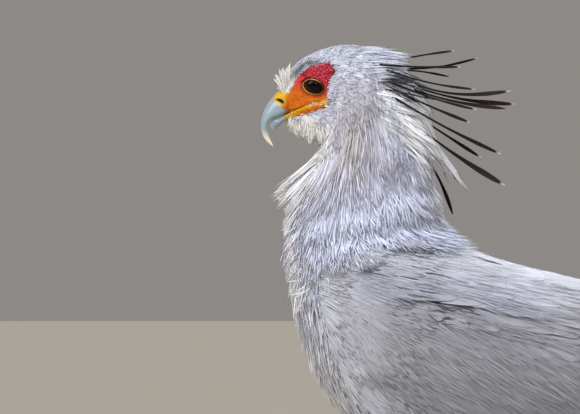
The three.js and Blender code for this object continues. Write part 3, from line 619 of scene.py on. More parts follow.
def settled(piece, name):
    """Puts a new piece's place into its mesh, with its faces pointing out."""
    bpy.ops.object.mode_set(mode="EDIT")
    bpy.ops.mesh.select_all(action="SELECT")
    bpy.ops.mesh.remove_doubles(threshold=0.00001)
    bpy.ops.mesh.normals_make_consistent(inside=False)
    bpy.ops.object.mode_set(mode="OBJECT")
    bpy.ops.object.transform_apply(location=True, rotation=True, scale=True)
    piece.name = piece.data.name = name
    return piece


def sweep(name, stations, sides):
    """Stations are (x, y, z, half width, half height, tilt) in millimetres and radians."""
    alone()
    places = [tuple(to_frame(station[:3])) for station in stations]
    bpy.ops.mesh.primitive_circle_add(vertices=sides, radius=MM, fill_type="NGON",
                                      rotation=(0, math.pi / 2, 0), location=places[0])
    piece = bpy.context.object
    bpy.ops.object.mode_set(mode="EDIT")
    bpy.ops.mesh.select_all(action="SELECT")
    wide, tall, tilt = 1, 1, 0
    for number, (place, station) in enumerate(zip(places, stations)):
        if number:
            move = tuple(b - a for a, b in zip(places[number - 1], place))
            bpy.ops.mesh.extrude_region_move(TRANSFORM_OT_translate={"value": move})
            bpy.ops.transform.rotate(value=tilt, orient_axis="Y", center_override=place)
        size = (1, station[3] / wide, station[4] / tall)
        bpy.ops.transform.resize(value=size, center_override=place)
        wide, tall, tilt = station[3:6]
        bpy.ops.transform.rotate(value=-tilt, orient_axis="Y", center_override=place)
    bpy.ops.object.mode_set(mode="OBJECT")
    settled(piece, name)
    rounded(piece, 1)
    return piece


def corners_of(piece):
    """The places of a piece's corners on the drawing."""
    places = np.empty(3 * len(piece.data.vertices))
    piece.data.vertices.foreach_get("co", places)
    return (places.reshape(-1, 3) - ZERO) / MM


def normals_of(piece):
    normals = np.empty(3 * len(piece.data.vertices))
    piece.data.vertices.foreach_get("normal", normals)
    return normals.reshape(-1, 3)


def reshaped(piece, change):
    """Moves every corner of a piece by a rule on its place on the drawing, like a sculptor's brush."""
    moved = to_frame(change(corners_of(piece), normals_of(piece)))
    piece.data.vertices.foreach_set("co", moved.ravel())
    piece.data.update()


# %% [markdown]
# One skin runs from the forehead to the rump under all the feathers, so no seam shows between them. On a
# live bird it is hidden, and here too it only closes the gaps, so it lies a few millimetres down and has
# the plumage's own colours with the soft grain of down.

# %% The skin
SKIN_SINK, LEAST_SINK, SKIN_HOOPS, SKIN_SIDES = 3.0, 1.2, 36, 32
HOLLOW_REACH, HOLLOW_DEPTH = 12, 7


def trunk_stations(first, last, count, sink):
    stations = []
    for t in np.linspace(first, last, count):
        centre, rise, half = hoop_at(t)
        tall = np.linalg.norm(rise)
        depth = sink * smoothstep(t, -0.5, 6) + LEAST_SINK
        stations.append((centre[0], 0, centre[1], half - depth, tall - depth, math.atan2(rise[0], rise[1])))
    return stations


def down_finish():
    look = Finish("down", Specular_IOR_Level=0.2, Roughness=0.8, Sheen_Weight=0.3)
    grain = look.noise(0.9, 4.0)
    tint = look.attribute("tint", "Color")
    return look.finish(look.mix(tint, look.grey(grain * 0.3 + 0.6), 1.0, "MULTIPLY"), None, grain, 0.6, 0.001)


def eye_hollows(spots, normals):
    """Sinks the skin beside the eyes, so that it stays behind the eyeballs."""
    beside_eye = near(spots[:, 0], spots[:, 2], (EYE_X, 0), HOLLOW_REACH)
    return spots - normals * (HOLLOW_DEPTH * beside_eye)[:, None]


skin = sweep("skin", trunk_stations(0.9, LAST_HOOP, SKIN_HOOPS, SKIN_SINK), SKIN_SIDES)
reshaped(skin, eye_hollows)
store_tint(skin.data, body_tint(corners_of(skin)))
down = down_finish()
dress(skin, down, "plumage", "head", "neck", "torso")
print("the skin has", len(skin.data.polygons), "faces")

# %% [markdown]
# The bare face has a ragged edge where the small feathers begin. It is drawn once, in side view, and
# decides where the head's feathers may grow and where the bare skin shows.

# %% The edge of the bare face
FACE_EDGE = [
    (-50, -3), (-36, -5.6), (-28.5, -8), (-24.7, -5.7), (-21.9, 0), (-17, 8.6), (-10.5, 14.3), (-3.8, 17.6),
    (9.5, 20.9), (20, 16.6), (22.3, 13.3), (17, 9.5), (11.9, 2.9), (10.9, -7.6), (10.5, -10.9), (16.2, -16.2),
    (10.9, -20), (-3.8, -25.7), (-17, -28.8), (-25.4, -32), (-29, -38), (-60, -48), (-60, -70), (-75, -70),
    (-75, -3),
]


def inside(edge, x, z):
    """Whether points in side view lie inside a closed outline."""
    found = np.zeros(np.shape(x), bool)
    for (x1, z1), (x2, z2) in zip(edge, edge[1:] + edge[:1]):
        crosses = (z1 > z) != (z2 > z)
        found ^= crosses & (x < (x2 - x1) * (z - z1) / (z2 - z1 + 1e-9) + x1)
    return found


def edge_distance(edge, x, z):
    """How far points in side view are from a closed outline, less than zero inside it."""
    best = np.full(np.shape(x), 1e9)
    for (x1, z1), (x2, z2) in zip(edge, edge[1:] + edge[:1]):
        long = (x2 - x1) ** 2 + (z2 - z1) ** 2 + 1e-9
        share = np.clip(((x - x1) * (x2 - x1) + (z - z1) * (z2 - z1)) / long, 0, 1)
        best = np.minimum(best, np.hypot(x - x1 - share * (x2 - x1), z - z1 - share * (z2 - z1)))
    return np.where(inside(edge, x, z), -best, best)


# %% [markdown]
# Head feathers are short and fine. They point backwards from the bill, longer towards the crown's rear,
# and those of the beard turn down. A random field turns neighbours together into little locks.

# %% Head feathers
HOOP_STEP = (0.05, 0.02)
SIDES = (("left", -1), ("right", 1))
SHORT_BARB = ((0, 0.4, 0.75, 1), (0.55, 1.0, 0.75, 0.0))
LONG_BARB = ((0, 0.25, 0.52, 0.8, 1), (0.5, 0.95, 1.0, 0.7, 0.0))
BARB_THICK, TUFT_THICK = 0.25, 0.3
ALL_ROUND, FLAT_ROUND = (-np.pi, np.pi), 6.6  # a whole turn, and how wide it is on the flattened body


def flat_place(t, angle):
    return np.stack([0.02 + 0.96 * t / LAST_HOOP, 0.5 + angle / FLAT_ROUND], -1)


def glints(rng, count, base, share=0.16):
    """A shade for each feather, with a few that catch the light."""
    return base + rng.uniform(-0.2, 0.2, count) + 0.6 * (rng.uniform(0, 1, count) < share)


def barbs_on_trunk(coat, roots, rng, length, width, lift, stiff, form, sway=0.3, fan=0.0, size=9, seed=1,
                   tint=None, power=1.5, turn=0.0):
    """Adds hair-like feathers to a coat. Sway is how far locks turn aside, in radians, size how broad a
    lock is, and fan how far the feathers of the back and of the front lean away from the side."""
    t, angle, here = roots
    lock = ripple(here[:, 0] + here[:, 1], here[:, 2] - 0.5 * here[:, 1], size, seed)
    other = ripple(here[:, 0] - here[:, 1], here[:, 2], size * 0.8, seed + 7)
    heading = sway * lock - fan * np.cos(angle) * np.sign(angle) + turn + rng.normal(0, 0.14, len(t))
    length = length * rng.uniform(0.75, 1.15, len(t))
    height = lift[1] * (0.55 + 0.45 * other + rng.uniform(0, 0.35, len(t)))
    shape = strands(trunk, HOOP_STEP, t, angle, heading, length, form, (lift[0], height),
                    width * rng.uniform(0.7, 1.3, len(t)), BARB_THICK, stiff, power)
    colours = body_tint(here) if tint is None else plain(tint, len(t))
    coat.add(shape, flat_place(t, angle), colours, glints(rng, len(t), 0.45 + 0.25 * other))


def tuft(coat, rng, t_range, angle_range, tips, count, width, bow, tint, spread, sink=1.0, loose=1.5,
         level=0.0):
    """Strands from a patch of the body to chosen tips (x, z) in side view, gathered into pointed locks.
    Bow is how far they arch, spread how far they part sideways, and loose how far they stray."""
    tips = np.asarray(tips, float)
    share = rng.uniform(0, 1, count)
    t = t_range[0] + (t_range[1] - t_range[0]) * np.clip(share + rng.normal(0, 0.1, count), 0, 1)
    angle = rng.uniform(*angle_range, count)
    root = trunk(t, angle, -sink)
    place = share * (len(tips) - 1)
    end = tips[np.round(place).astype(int)] * 0.82 + through(tips, place) * 0.18
    end = end + rng.normal(0, loose, (count, 2))
    lower = level * (trunk(t, 0 * angle)[:, 2] - root[:, 2])  # keeps strands from the sides level
    end = np.stack([end[:, 0], root[:, 1] * spread + rng.normal(0, loose, count), end[:, 1] - lower], -1)
    end = root + (end - root) * rng.uniform(0.72, 1.02, (count, 1))
    out = unit(trunk(t, angle, 1.0) - trunk(t, angle, 0.0))
    middle = (root + end) / 2 + out * (bow * np.linalg.norm(end - root, axis=1))[:, None]
    shares, outline = LONG_BARB
    s = np.asarray(shares)[None, :, None]
    points = root[:, None] * (1 - s) ** 2 + 2 * middle[:, None] * s * (1 - s) + end[:, None] * s ** 2
    facing = unit(out * 0.5 + np.stack([0 * angle, np.where(root[:, 1] < 0, -1.0, 1.0), 0 * angle], -1))
    normals = np.repeat(facing[:, None], len(shares), 1)
    shape = barb_mesh(points, normals, width * rng.uniform(0.7, 1.3, count), TUFT_THICK, outline)
    colours = body_tint(root) if tint is None else plain(tint, count)
    coat.add(shape, flat_place(t, angle), colours, glints(rng, count, 0.5, 0.3))


def on_feathered_head(t, angle, here):
    x, z = here[:, 0], here[:, 2]
    gap = edge_distance(FACE_EDGE, x, z)
    beside_jaw = (x < -17) * (z < -20) * (gap < 2.5)
    off_face = gap > 1.6 * smoothstep(x, 0, 12) * smoothstep(z, 5, 12)
    return off_face * ~beside_jaw * (1.0 + 1.2 * np.exp(-np.hypot(x, z) / 30))


def on_face_edge(t, angle, here):
    gap = edge_distance(FACE_EDGE, here[:, 0], here[:, 2])
    lower = here[:, 2] < -18
    return (gap > np.where(lower, -0.6, -2.2)) * (gap < 1.5) * (here[:, 0] > -27)


def beside_gape(t, angle, here):
    x, z = here[:, 0], here[:, 2]
    return inside(FACE_EDGE, x, z) * (z < -16.5 + 0.15 * x) * smoothstep(x + 0.6 * (z + 20), -8, 4)


rng = dice(11)
head = Coat()
roots = scatter(trunk, HOOP_STEP, (0.05, 8.4), ALL_ROUND, 11600, rng, on_feathered_head)
x, _, z = roots[2].T
bearded = smoothstep(-z - 0.35 * x, 20, 32) * smoothstep(-x, -10, 2)
long = 5 + 13 * smoothstep(np.hypot(x, z), 13, 42) + 9 * smoothstep(roots[0], 5, 8.4) + 4 * bearded
barbs_on_trunk(head, roots, rng, long, 0.95, (-0.6, 1.1), 0.25, SHORT_BARB, sway=0.22, fan=0.15, size=12,
               seed=3, turn=0.7 * bearded * np.sign(roots[1]))
# Tiny feathers grow thinly out of the bare skin's edge, and white bristles over its lower rear corner.
roots = scatter(trunk, HOOP_STEP, (0.3, 6.5), ALL_ROUND, 1100, rng, on_face_edge)
barbs_on_trunk(head, roots, rng, 5.5, 0.6, (-0.4, 1.2), 0.2, SHORT_BARB, size=6, seed=8)
roots = scatter(trunk, HOOP_STEP, (1, 6), ALL_ROUND, 420, rng, beside_gape)
barbs_on_trunk(head, roots, rng, 5, 0.42, (-0.2, 1.8), 0.3, SHORT_BARB, sway=0.7, size=5, seed=7, tint=NAPE)
head.build("head_feathers", PALE_PLUMAGE, "plumage")

# %% [markdown]
# Where feathers stand off the body, they are gathered in locks with tips of their own: the forelock
# over the cere, the beard, the rear of the crown, the throat's ruff and the white plumes of the nape.

# %% Tufts of the head and neck
FORELOCK = [(-37, -1), (-39.6, 6.8), (-38, 11), (-34.5, 16), (-31, 18.2), (-29, 15), (-26.2, 18.5),
            (-23.1, 22.5)]
FOREHEAD = [(-33, -2), (-34, 5), (-30, 10), (-26, 14)]
BEARD_TIPS = [(-26, -38), (-24, -43), (-17, -49.5), (-14, -45), (-11, -51), (-3.6, -57), (1, -52), (6, -58),
              (12, -60)]
CROWN_TIPS = [(56, 36), (66, 35.6), (77, 34.6), (94, 28.6), (87, 24), (80, 20), (91, 16), (85, 8), (97, 2),
              (94, -9)]
RUFF_TIPS = [(-30, -96), (-37, -102), (-42, -108.5), (-38, -113), (-34.7, -117), (-30, -121), (-29, -128)]
BREAST_TIPS = [(-31, -136), (-31, -146), (-30, -158), (-28, -172), (-26, -186), (-23, -202), (-18, -222)]
NAPE_TIPS = [(98, -18), (108, -26), (113, -33), (112, -48), (117, -61), (122, -76), (112, -84)]
REAR_TIPS = [(106, -88), (113, -101), (109, -109), (107, -119), (112, -130)]
WISP_TIPS = [(128, -92), (148.5, -104.5), (149, -105)]
SLIP_TIPS = [(94, 13), (108, 3), (112, -4), (118, -14), (104, -22), (122, -30), (112, -33)]
SLATE = colour(92, 92, 104)


def about(middle, half):
    return (middle - half, middle + half)


tufts = Coat()
tuft(tufts, rng, (0.15, 1.5), about(0, 0.95), FORELOCK, 260, 0.34, 0.36, BEARD, 1.1, loose=0.6)
tuft(tufts, rng, (0.15, 1.5), about(0, 0.95), FOREHEAD, 460, 0.44, 0.25, BEARD, 1.1, loose=1.4)
tuft(tufts, rng, (0.2, 4.8), about(np.pi, 1.0), BEARD_TIPS, 820, 0.5, 0.1, BEARD, 1.1, loose=0.7)
tuft(tufts, rng, (5.6, 9.1), about(0, 1.0), CROWN_TIPS, 900, 0.75, 0.04, None, 1.0, loose=1.2, level=0.9)
tuft(tufts, rng, (8.6, 10.9), about(np.pi, 0.8), RUFF_TIPS, 620, 0.8, 0.1, WISP, 1.0, loose=1.8)
tuft(tufts, rng, (11.2, 15.0), about(np.pi, 0.7), BREAST_TIPS, 420, 0.8, 0.05, WISP, 1.0, loose=2.2)
tuft(tufts, rng, (8.2, 10.6), about(0, 1.2), NAPE_TIPS, 760, 1.1, 0.08, NAPE, 0.75)
tuft(tufts, rng, (9.6, 12.0), about(0, 1.1), REAR_TIPS, 420, 1.1, 0.04, NAPE, 0.7, loose=1.6)
tuft(tufts, rng, (10.4, 11.2), about(0, 0.5), WISP_TIPS, 42, 1.0, 0.02, NAPE, 0.4, loose=1.0)
tuft(tufts, rng, (9.2, 12.2), about(0, 0.7), REAR_TIPS, 70, 1.4, 0.04, SLATE, 0.8)
for middle in (0.75, -0.75):
    tuft(tufts, rng, (8.0, 9.6), about(middle, 0.25), SLIP_TIPS, 16, 1.3, 0.03, SOOT, 1.1,
         sink=-2.0, loose=1.0)
roots = scatter(trunk, HOOP_STEP, (13.0, 19.5), about(np.pi, 0.75), 900, rng)
barbs_on_trunk(tufts, roots, rng, 30, 1.0, (-1, 5.5), 0.3, LONG_BARB, seed=34, tint=WISP, power=1.2)
tufts.build("head_tufts", PALE_PLUMAGE, "plumage")

# %% [markdown]
# The neck is drawn in, so its feathers are loose and long, like a cape. They fan out from the cheek in
# locks and end over the shoulder in a ragged hem, which stands off and throws a shadow.

# %% Neck feathers
HEM = 13.5  # the hoop at which the hem's feathers grow
# hoops from the hem, count, length and its gains at the back and at the shoulder, width, lift of root
# and tip and its gain at the shoulder, stiffness, seed
HEM_ROWS = [
    (-0.45, 0.25, 1300, (37, 9, 8), 1.3, (0, 9.5, 6), 0.25, 32),
    (-1.2, -0.7, 700, (34, 6, 6), 1.25, (1, 9.0, 5), 0.3, 35),
]


def half_round(side, start, end=np.pi):
    """The angles from start to end on one side of the body."""
    return (start, end) if side < 0 else (-end, -start)


for word, side in SIDES:
    rng = dice(21, side)
    coat = Coat()
    roots = scatter(trunk, HOOP_STEP, (7.8, HEM), half_round(side, 0.03), 6300, rng)
    long = 52 - 12 * smoothstep(roots[0], 11.2, HEM) + 6 * np.sin(np.abs(roots[1]))
    barbs_on_trunk(coat, roots, rng, long, 1.1, (-1.5, 4.8), 0.35, LONG_BARB, fan=0.3, size=32, seed=31)
    for start, end, count, lengths, width, lifts, stiff, seed in HEM_ROWS:
        roots = scatter(trunk, HOOP_STEP, (HEM + start, HEM + end), half_round(side, 0.03, 2.3), count, rng)
        shoulder = np.exp(-((np.abs(roots[1]) - 0.85) / 0.4) ** 2)
        long = lengths[0] + lengths[1] * np.cos(roots[1]) + lengths[2] * shoulder
        lift = (lifts[0], lifts[1] + lifts[2] * shoulder)
        barbs_on_trunk(coat, roots, rng, long, width, lift, stiff, LONG_BARB, fan=0.1, size=13, seed=seed)
    coat.build("neck_feathers_" + word, PALE_PLUMAGE, "plumage")

# %% [markdown]
# The breast continues the neck with the same soft strands. At its sides they lie over the front of the
# folded wing and hide its edge. Below the wing the belly is covered to between the legs.

# %% Breast and belly feathers
for word, side in SIDES:
    rng = dice(25, side)
    coat = Coat()
    roots = scatter(trunk, HOOP_STEP, (HEM, 18.4), half_round(side, 1.0), 5200, rng)
    barbs_on_trunk(coat, roots, rng, 36, 1.3, (-1.5, 3.6), 0.2, LONG_BARB, sway=0.35, fan=-0.12, size=22,
                   seed=41)
    roots = scatter(trunk, HOOP_STEP, (17.6, 22.9), half_round(side, 1.3), 2100, rng)
    barbs_on_trunk(coat, roots, rng, 42, 2.6, (-1.5, 4), 0.2, LONG_BARB, size=30, seed=42)
    coat.build("breast_feathers_" + word, PALE_PLUMAGE, "plumage")

# %% [markdown]
# Between the wings the mantle's feathers are broad and lie flat like tiles, each over the next one's
# root, so the back looks smooth and silky.

# %% Mantle
ROUND_SHARES, ROUND_TIP = (0, 0.25, 0.5, 0.75, 0.92, 1), (0.35, 0.75, 1.0, 1.0, 0.8, 0.3)
MIDDLING = (-1, -0.5, 0, 0.5, 1)  # the corners across a vane, as shares of its half width
ROW_STEP, ROW_SPAN, FULL_ROW = 0.42, 1.05, 5
JITTER = 0.25


def tiles(tiers, rng):
    """Roots in rows, each row set half a feather aside from the row before."""
    found = []
    for number, (start, end, count) in enumerate(tiers):
        share = np.arange(count) + 0.5 * (number % 2) + rng.uniform(-JITTER, JITTER, count)
        share = share / max(1, count - 0.5)
        found.append(np.array(start)[None] + (np.array(end) - np.array(start))[None] * share[:, None])
    return np.concatenate(found)


rng = dice(27)
coat = Coat()
tiers = [((t, -ROW_SPAN), (t, ROW_SPAN), 9 + int(1.1 * min(t - HEM, FULL_ROW)))
         for t in np.arange(22.2, 13.3, -ROW_STEP)]
t, angle = tiles(tiers, rng).T
points, normals = follow(trunk, HOOP_STEP, t, angle, rng.normal(0, 0.06, len(t)), rng.uniform(40, 50, len(t)),
                         ROUND_SHARES, (0.0, rng.uniform(2.6, 3.6, len(t))), 0.1, 0.8)
shape = vane_mesh(points, normals, rng.uniform(17, 22, len(t)), 0.4, ROUND_TIP, MIDDLING, 0.08,
                  rng.normal(0, 0.05, len(t)))
coat.add(shape, flat_place(t, angle), body_tint(trunk(t, angle)), rng.uniform(0, 1, len(t)))
# Fine loose barbs lie over the broad feathers, and a dark strand on each side is painted shadow in a gap.
t, angle, here = scatter(trunk, HOOP_STEP, (14.2, 22.4), about(0, 1.15), 2600, rng)
shape = strands(trunk, HOOP_STEP, t, angle, rng.normal(0, 0.1, len(t)), rng.uniform(16, 30, len(t)),
                SHORT_BARB, (3.0, rng.uniform(4.0, 5.0, len(t))), rng.uniform(0.6, 1.2, len(t)), 0.2,
                0.1, 0.8)
coat.add(shape, flat_place(t, angle), body_tint(here), glints(rng, len(t), 0.45, 0.1))
for side in (-1, 1):
    t, angle = np.array([15.45]), np.array([-side * 0.42])
    edge = strands(trunk, HOOP_STEP, t, angle, 0.0, 34.0, LONG_BARB, (4.8, 5.6), 3.6, 0.4)
    coat.add(edge, flat_place(t, angle), np.array([SOOT]), np.array([0.0]))
coat.build("mantle", VANE_PLUMAGE, "plumage")

# %% [markdown]
# A folded wing is a stack of tiers. Black flight feathers lie lowest and reach furthest back, the grey
# coverts cover their roots, and the pale scapulars of the shoulder lap over them all with one long dark
# fold below them. Each tier is one row of broad vanes with a root line, lengths and a droop.

# %% Wing feathers
WING_STEP = (1.0, 1.0)
FLIGHT_SHARES = (0, 0.15, 0.3, 0.5, 0.7, 0.86, 0.96, 1)
FLIGHT = (0.3, 0.75, 0.95, 1.0, 0.98, 0.9, 0.7, 0.22)
WIDE = (-1, -0.6, -0.2, 0, 0.2, 0.6, 1)
SCAPULAR, COVERT, LOWER = colour(170, 173, 187), colour(162, 162, 171), colour(157, 157, 165)
# The third colour of this line is painted shadow, for the shade at the wing's lower front edge.
WORN, FRONT, UNDERWING_SHADOW = colour(146, 142, 142), colour(192, 193, 202), colour(104, 103, 108)
QUILL_BLACK, TERTIAL = colour(40, 37, 38), colour(104, 101, 104)
# name: count, first root, last root, lengths, droops, width, lift of root and tip, colour
WING_TIERS = {
    "primaries": (9, (300, -341), (345, -322), (226, 262), (15.5, 18), 21, (1.2, 3.2), QUILL_BLACK),
    "secondaries": (13, (130, -304), (320, -302), (180, 238), (9, 18), 23, (1.6, 4.6), QUILL_BLACK),
    "tertials": (6, (232, -204), (284, -284), (226, 262), (26, 21), 29, (2.4, 7.0), TERTIAL),
    "greater_coverts": (14, (46, -284), (286, -282), (82, 98), (19, 15), 25, (3.0, 6.0), LOWER),
    "median_coverts": (14, (34, -266), (262, -268), (72, 84), (21, 16), 23, (3.4, 6.6), LOWER),
    "lesser_coverts": (15, (30, -248), (240, -252), (62, 74), (23, 18), 21, (3.8, 7.2), COVERT),
    "upper_coverts": (16, (30, -228), (226, -238), (54, 66), (22, 18), 19, (4.2, 7.8), COVERT),
    "shoulder_coverts": (16, (34, -203), (218, -222), (50, 62), (19, 16), 18, (4.6, 8.2), COVERT),
}
# first root, last root, count, lengths, droops, width
SCAPULAR_TIERS = [
    ((52, -189), (214, -215), 11, (40, 84), (5, 18), 22),
    ((48, -181), (218, -205), 10, (44, 100), (5, 18), 24),
    ((56, -174), (222, -199), 10, (46, 112), (6, 19), 24),
    ((66, -167), (226, -193), 9, (48, 120), (8, 20), 24),
]
SCAPULAR_LIFT = (6.0, 11.0)
# The fold below the scapulars, as places (x, z) in side view.
FOLD = [(30, -203), (70, -201), (104, -201), (124, -203), (141, -209), (166, -218), (190, -226), (217, -232),
        (250, -240), (300, -258)]
# The body's ridge as places (x, z), and its keel as depths and the x there.
RIDGE = [(hoop[0], hoop[1]) for hoop in HOOPS[13:]]
KEEL = [(-hoop[3], hoop[2]) for hoop in HOOPS[13:19]]
# The loose strands of the wing's front and of its rear: count, span in x and in z, length, width
SOFT_ROWS = [(3000, (-12, 104), (-312, -158), 29, 1.1), (2500, (60, 330), (-318, -160), 38, 0.6)]
# The short barbs just under the fold take the painted shadow colour, as shade under the scapulars.
RUFFLED = 44  # short dark barbs just under the fold


def wing_flat(side, x, z):
    return np.stack([0.02 + 0.9 * x / 640, (0.02 if side < 0 else 0.52) + 0.44 * (z + 430) / 260], -1)


def fold(x, z):
    """How far above the fold a place on the wing is."""
    return z - read_off(FOLD, x)


def wing_tint(x, z):
    """Paler above the fold and towards the breast, greyer and browner below and behind, with painted shadows.
    """
    return layered(
        COVERT,
        (LOWER, smoothstep(-z, 250, 300)),
        (SCAPULAR, smoothstep(fold(x, z), -2, 2)),
        (WORN, np.exp(-((x - 226) / 26) ** 2 - ((z + 216) / 13) ** 2) * 0.8),
        (FRONT, smoothstep(-x - 0.1 * z, -46, 8) * 0.8),
        # painted shadow where the wing's lower front edge shades the flank below it
        (UNDERWING_SHADOW, np.exp(-((x - 48) / 16) ** 2 - ((z + 272) / 8) ** 2) * 0.8),
        (MANTLE, smoothstep(z + 0.26 * x, -172, -138) * 0.6),
        # painted shadow under the neck's hem
        (SHADED, hem_shade(x, z) * 0.95),
    )


def wing_row(coat, side, rng, share, first, last, lengths, droops, width, lift, tint=None):
    """Broad feathers in a row. Share says how far each root is on the way from the first to the last."""
    x, z = (np.interp(share, (0, 1), (first[k], last[k])) for k in (0, 1))
    length, droop = np.interp(share, (0, 1), lengths), np.interp(share, (0, 1), droops)
    heading = -np.radians(droop + rng.normal(0, 1.2, len(x)))
    clear = smoothstep(x, 15, 90)  # near the wing's front the feathers lie low, under the breast's strands
    long = length * rng.uniform(0.96, 1.04, len(x))
    top = lift[1] * (0.5 + 0.5 * clear) + rng.uniform(-0.3, 0.3, len(x))
    points, normals = follow(wing_side(side), WING_STEP, x, z, heading, long, FLIGHT_SHARES,
                             (lift[0] * clear, top), 0.0, 0.5)
    shape = vane_mesh(points, normals, width * rng.uniform(0.93, 1.07, len(x)), 0.5, FLIGHT, WIDE, 0.1,
                      side * 0.06, 0.5)
    tints = wing_tint(x + 0.35 * length, z - 0.12 * length) if tint is None else plain(tint, len(x))
    tints = tints * rng.uniform(0.9, 1.1, (len(x), 1))
    coat.add(shape, wing_flat(side, x, z), tints, rng.uniform(0.45, 0.8, len(x)))


def soft_barbs(coat, side, rng):
    """Loose fine strands over the wing: dense where the breast laps over its front, sparser behind."""
    surface = wing_side(side)
    for count, span, rows, long, fine in SOFT_ROWS:
        def keep(x, z, here):
            on_wing = (z < read_off(RIDGE, x) - 14) * (z > -322 + 0.05 * x) * (x > read_off(KEEL, -z) + 22)
            beside_fold = (np.abs(fold(x, z) + 3) > 3) + (x < 72)
            thin = smoothstep(-x, -104, -44) if fine > 1.0 else 1 - 0.72 * smoothstep(fold(x, z), 0, 3)
            return thin * on_wing * beside_fold
        x, z, here = scatter(surface, WING_STEP, span, rows, count, rng, keep)
        front = smoothstep(-x, -90, 0) * smoothstep(-z, 190, 230)
        lock = ripple(x, z, 26, 53 + long)
        below = smoothstep(-fold(x, z), 4, 26) * (1 - front)
        droop = 17 + 40 * front + 15 * below + (4 + 3 * front) * lock
        heading = -np.radians(droop + rng.normal(0, 3.5, len(x)))
        under = 0.5 + 6.8 * smoothstep(x, 6, 60) + 1.1 * smoothstep(x, 80, 130)
        under = under + 4.4 * smoothstep(fold(x, z), 0, 3) * smoothstep(x, 40, 80)
        top = under + 1.3 + 2.4 * smoothstep(-x, -50, -10) + rng.uniform(-0.5, 0.8, len(x))
        shape = strands(surface, WING_STEP, x, z, heading, long * rng.uniform(0.7, 1.2, len(x)), SHORT_BARB,
                        (under, top), fine * rng.uniform(0.7, 1.3, len(x)), 0.14, 0.0, 0.8)
        tints = wing_tint(x, z) * rng.uniform(0.84, 1.08, (len(x), 1))
        coat.add(shape, wing_flat(side, x, z), tints, glints(rng, len(x), 0.5 + 0.2 * lock, 0.1))
    # Short barbs in the painted shadow colour stand for the shade just under the fold.
    x, z = rng.uniform(100, 142, RUFFLED), rng.uniform(-226, -207, RUFFLED)
    heading = -np.radians(rng.normal(12, 16, RUFFLED))
    shape = strands(surface, WING_STEP, x, z, heading, rng.uniform(9, 17, RUFFLED), SHORT_BARB,
                    (8.2, rng.uniform(9, 11, RUFFLED)), rng.uniform(0.5, 0.9, RUFFLED), 0.3, 0.0, 0.8)
    coat.add(shape, wing_flat(side, x, z), plain(SHADED, RUFFLED), np.full(RUFFLED, 0.3))


for word, side in SIDES:
    rng = dice(51, side)
    flights, coverts = Coat(), Coat()
    for count, first, last, lengths, droops, width, lift, tint in WING_TIERS.values():
        coat = flights if tint is QUILL_BLACK else coverts
        wing_row(coat, side, rng, np.linspace(0, 1, count), first, last, lengths, droops, width, lift, tint)
    for first, last, count, lengths, droops, width in SCAPULAR_TIERS:
        share = (np.arange(count) + rng.uniform(-0.2, 0.2, count)) / (count - 1)
        wing_row(coverts, side, rng, share, first, last, lengths, droops, width, SCAPULAR_LIFT)
    soft_barbs(coverts, side, rng)
    flights.build("flight_feathers_" + word, DARK_PLUMAGE, "wing_plumage")
    coverts.build("wing_coverts_" + word, WING_PLUMAGE, "wing_plumage", "wing_" + word)

# %% [markdown]
# The crest is what gives the bird its name. Long thin quills stand out from the nape, each bowed by its
# own weight, with a vane that widens only near its tip. White plumes and loose strands hide their roots.

# %% Crest
# hoop and angle of the root, tip (x, z), how far the tip is from the middle, breadth near the tip, bow
QUILLS = [
    (7.9, 0.1, 132, 33.2, 6, 2.4, 1), (8.3, -0.2, 155, 27, -14, 2.6, -4),
    (7.7, 0.72, 137.5, 17.4, 30, 2.8, -1), (8.2, -0.4, 128, 9.6, -28, 2.4, 2),
    (8.2, 0.72, 151, -4, 34, 2.6, -3), (8.9, 0.3, 185, -5.2, 20, 4.6, -9),
    (8.9, 0.8, 152, -23.3, 40, 2.8, -2), (9.2, -0.2, 191, -17, -14, 5, -5),
    (9.3, 0.34, 180, -22, 22, 4.6, -4), (9.3, 0.8, 146, -35.4, 40, 3.6, -1),
    (9.6, 0.86, 175, -65.2, 40, 4.2, -2), (10.4, -0.3, 158, -67.6, -18, 4, 0),
    (10.5, 0.5, 179, -94.6, 34, 6.4, -3), (11.4, -0.3, 131.6, -122, -24, 4, 5),
]
QUILL_SHARES = np.linspace(0, 1, 22)
QUILL_SWELL = (0, 0.35, 0.6, 0.8, 0.93, 1)  # where along a quill its breadth is given
JET, BROWN, CHALK = colour(12, 10, 11), colour(60, 38, 32), colour(236, 234, 232)


def quill_line(root, tip, bow):
    """A bowed line from root to tip, with the directions that its flat face looks along."""
    along = unit(tip - root)
    up = unit(np.cross(along, (0, 1, 0)))
    line = root + (tip - root) * QUILL_SHARES[:, None] + up * bow * np.sin(np.pi * QUILL_SHARES)[:, None]
    wide = unit(up + np.array([0, 0.55 if tip[1] < 0 else -0.55, 0]))
    return line, np.tile(unit(np.cross(wide, along)), (len(line), 1))


crest = Coat()
for number, (t, angle, tip_x, tip_z, out, broad, bow) in enumerate(QUILLS):
    root = trunk(np.array(t), np.array(angle), 3.5 if angle > 0.6 else -7.0)
    line, face = quill_line(root, np.array([tip_x, -out, tip_z], float), bow)
    swell = np.interp(QUILL_SHARES, QUILL_SWELL, (2.2, 1.7, broad * 0.6, broad, broad * 0.75, 0.5))
    shape = vane_mesh(line[None], face[None], 1.0, 0.5, swell, MIDDLING, -0.16, 0.0, 0.4)
    along = shape[2][:, 0]
    tints = layered(JET, (BROWN, smoothstep(along, 0.6, 0.9) * (0.5 if broad > 4.5 else 0.1)),
                    (CHALK, smoothstep(along, 0.955, 0.985) * (number % 5 != 3)))
    crest.add(shape, [(0.05 + 0.06 * number, 0.5)], tints[None], np.array([0.5]))
crest.build("crest_quills", DARK_PLUMAGE, "black_plumage")

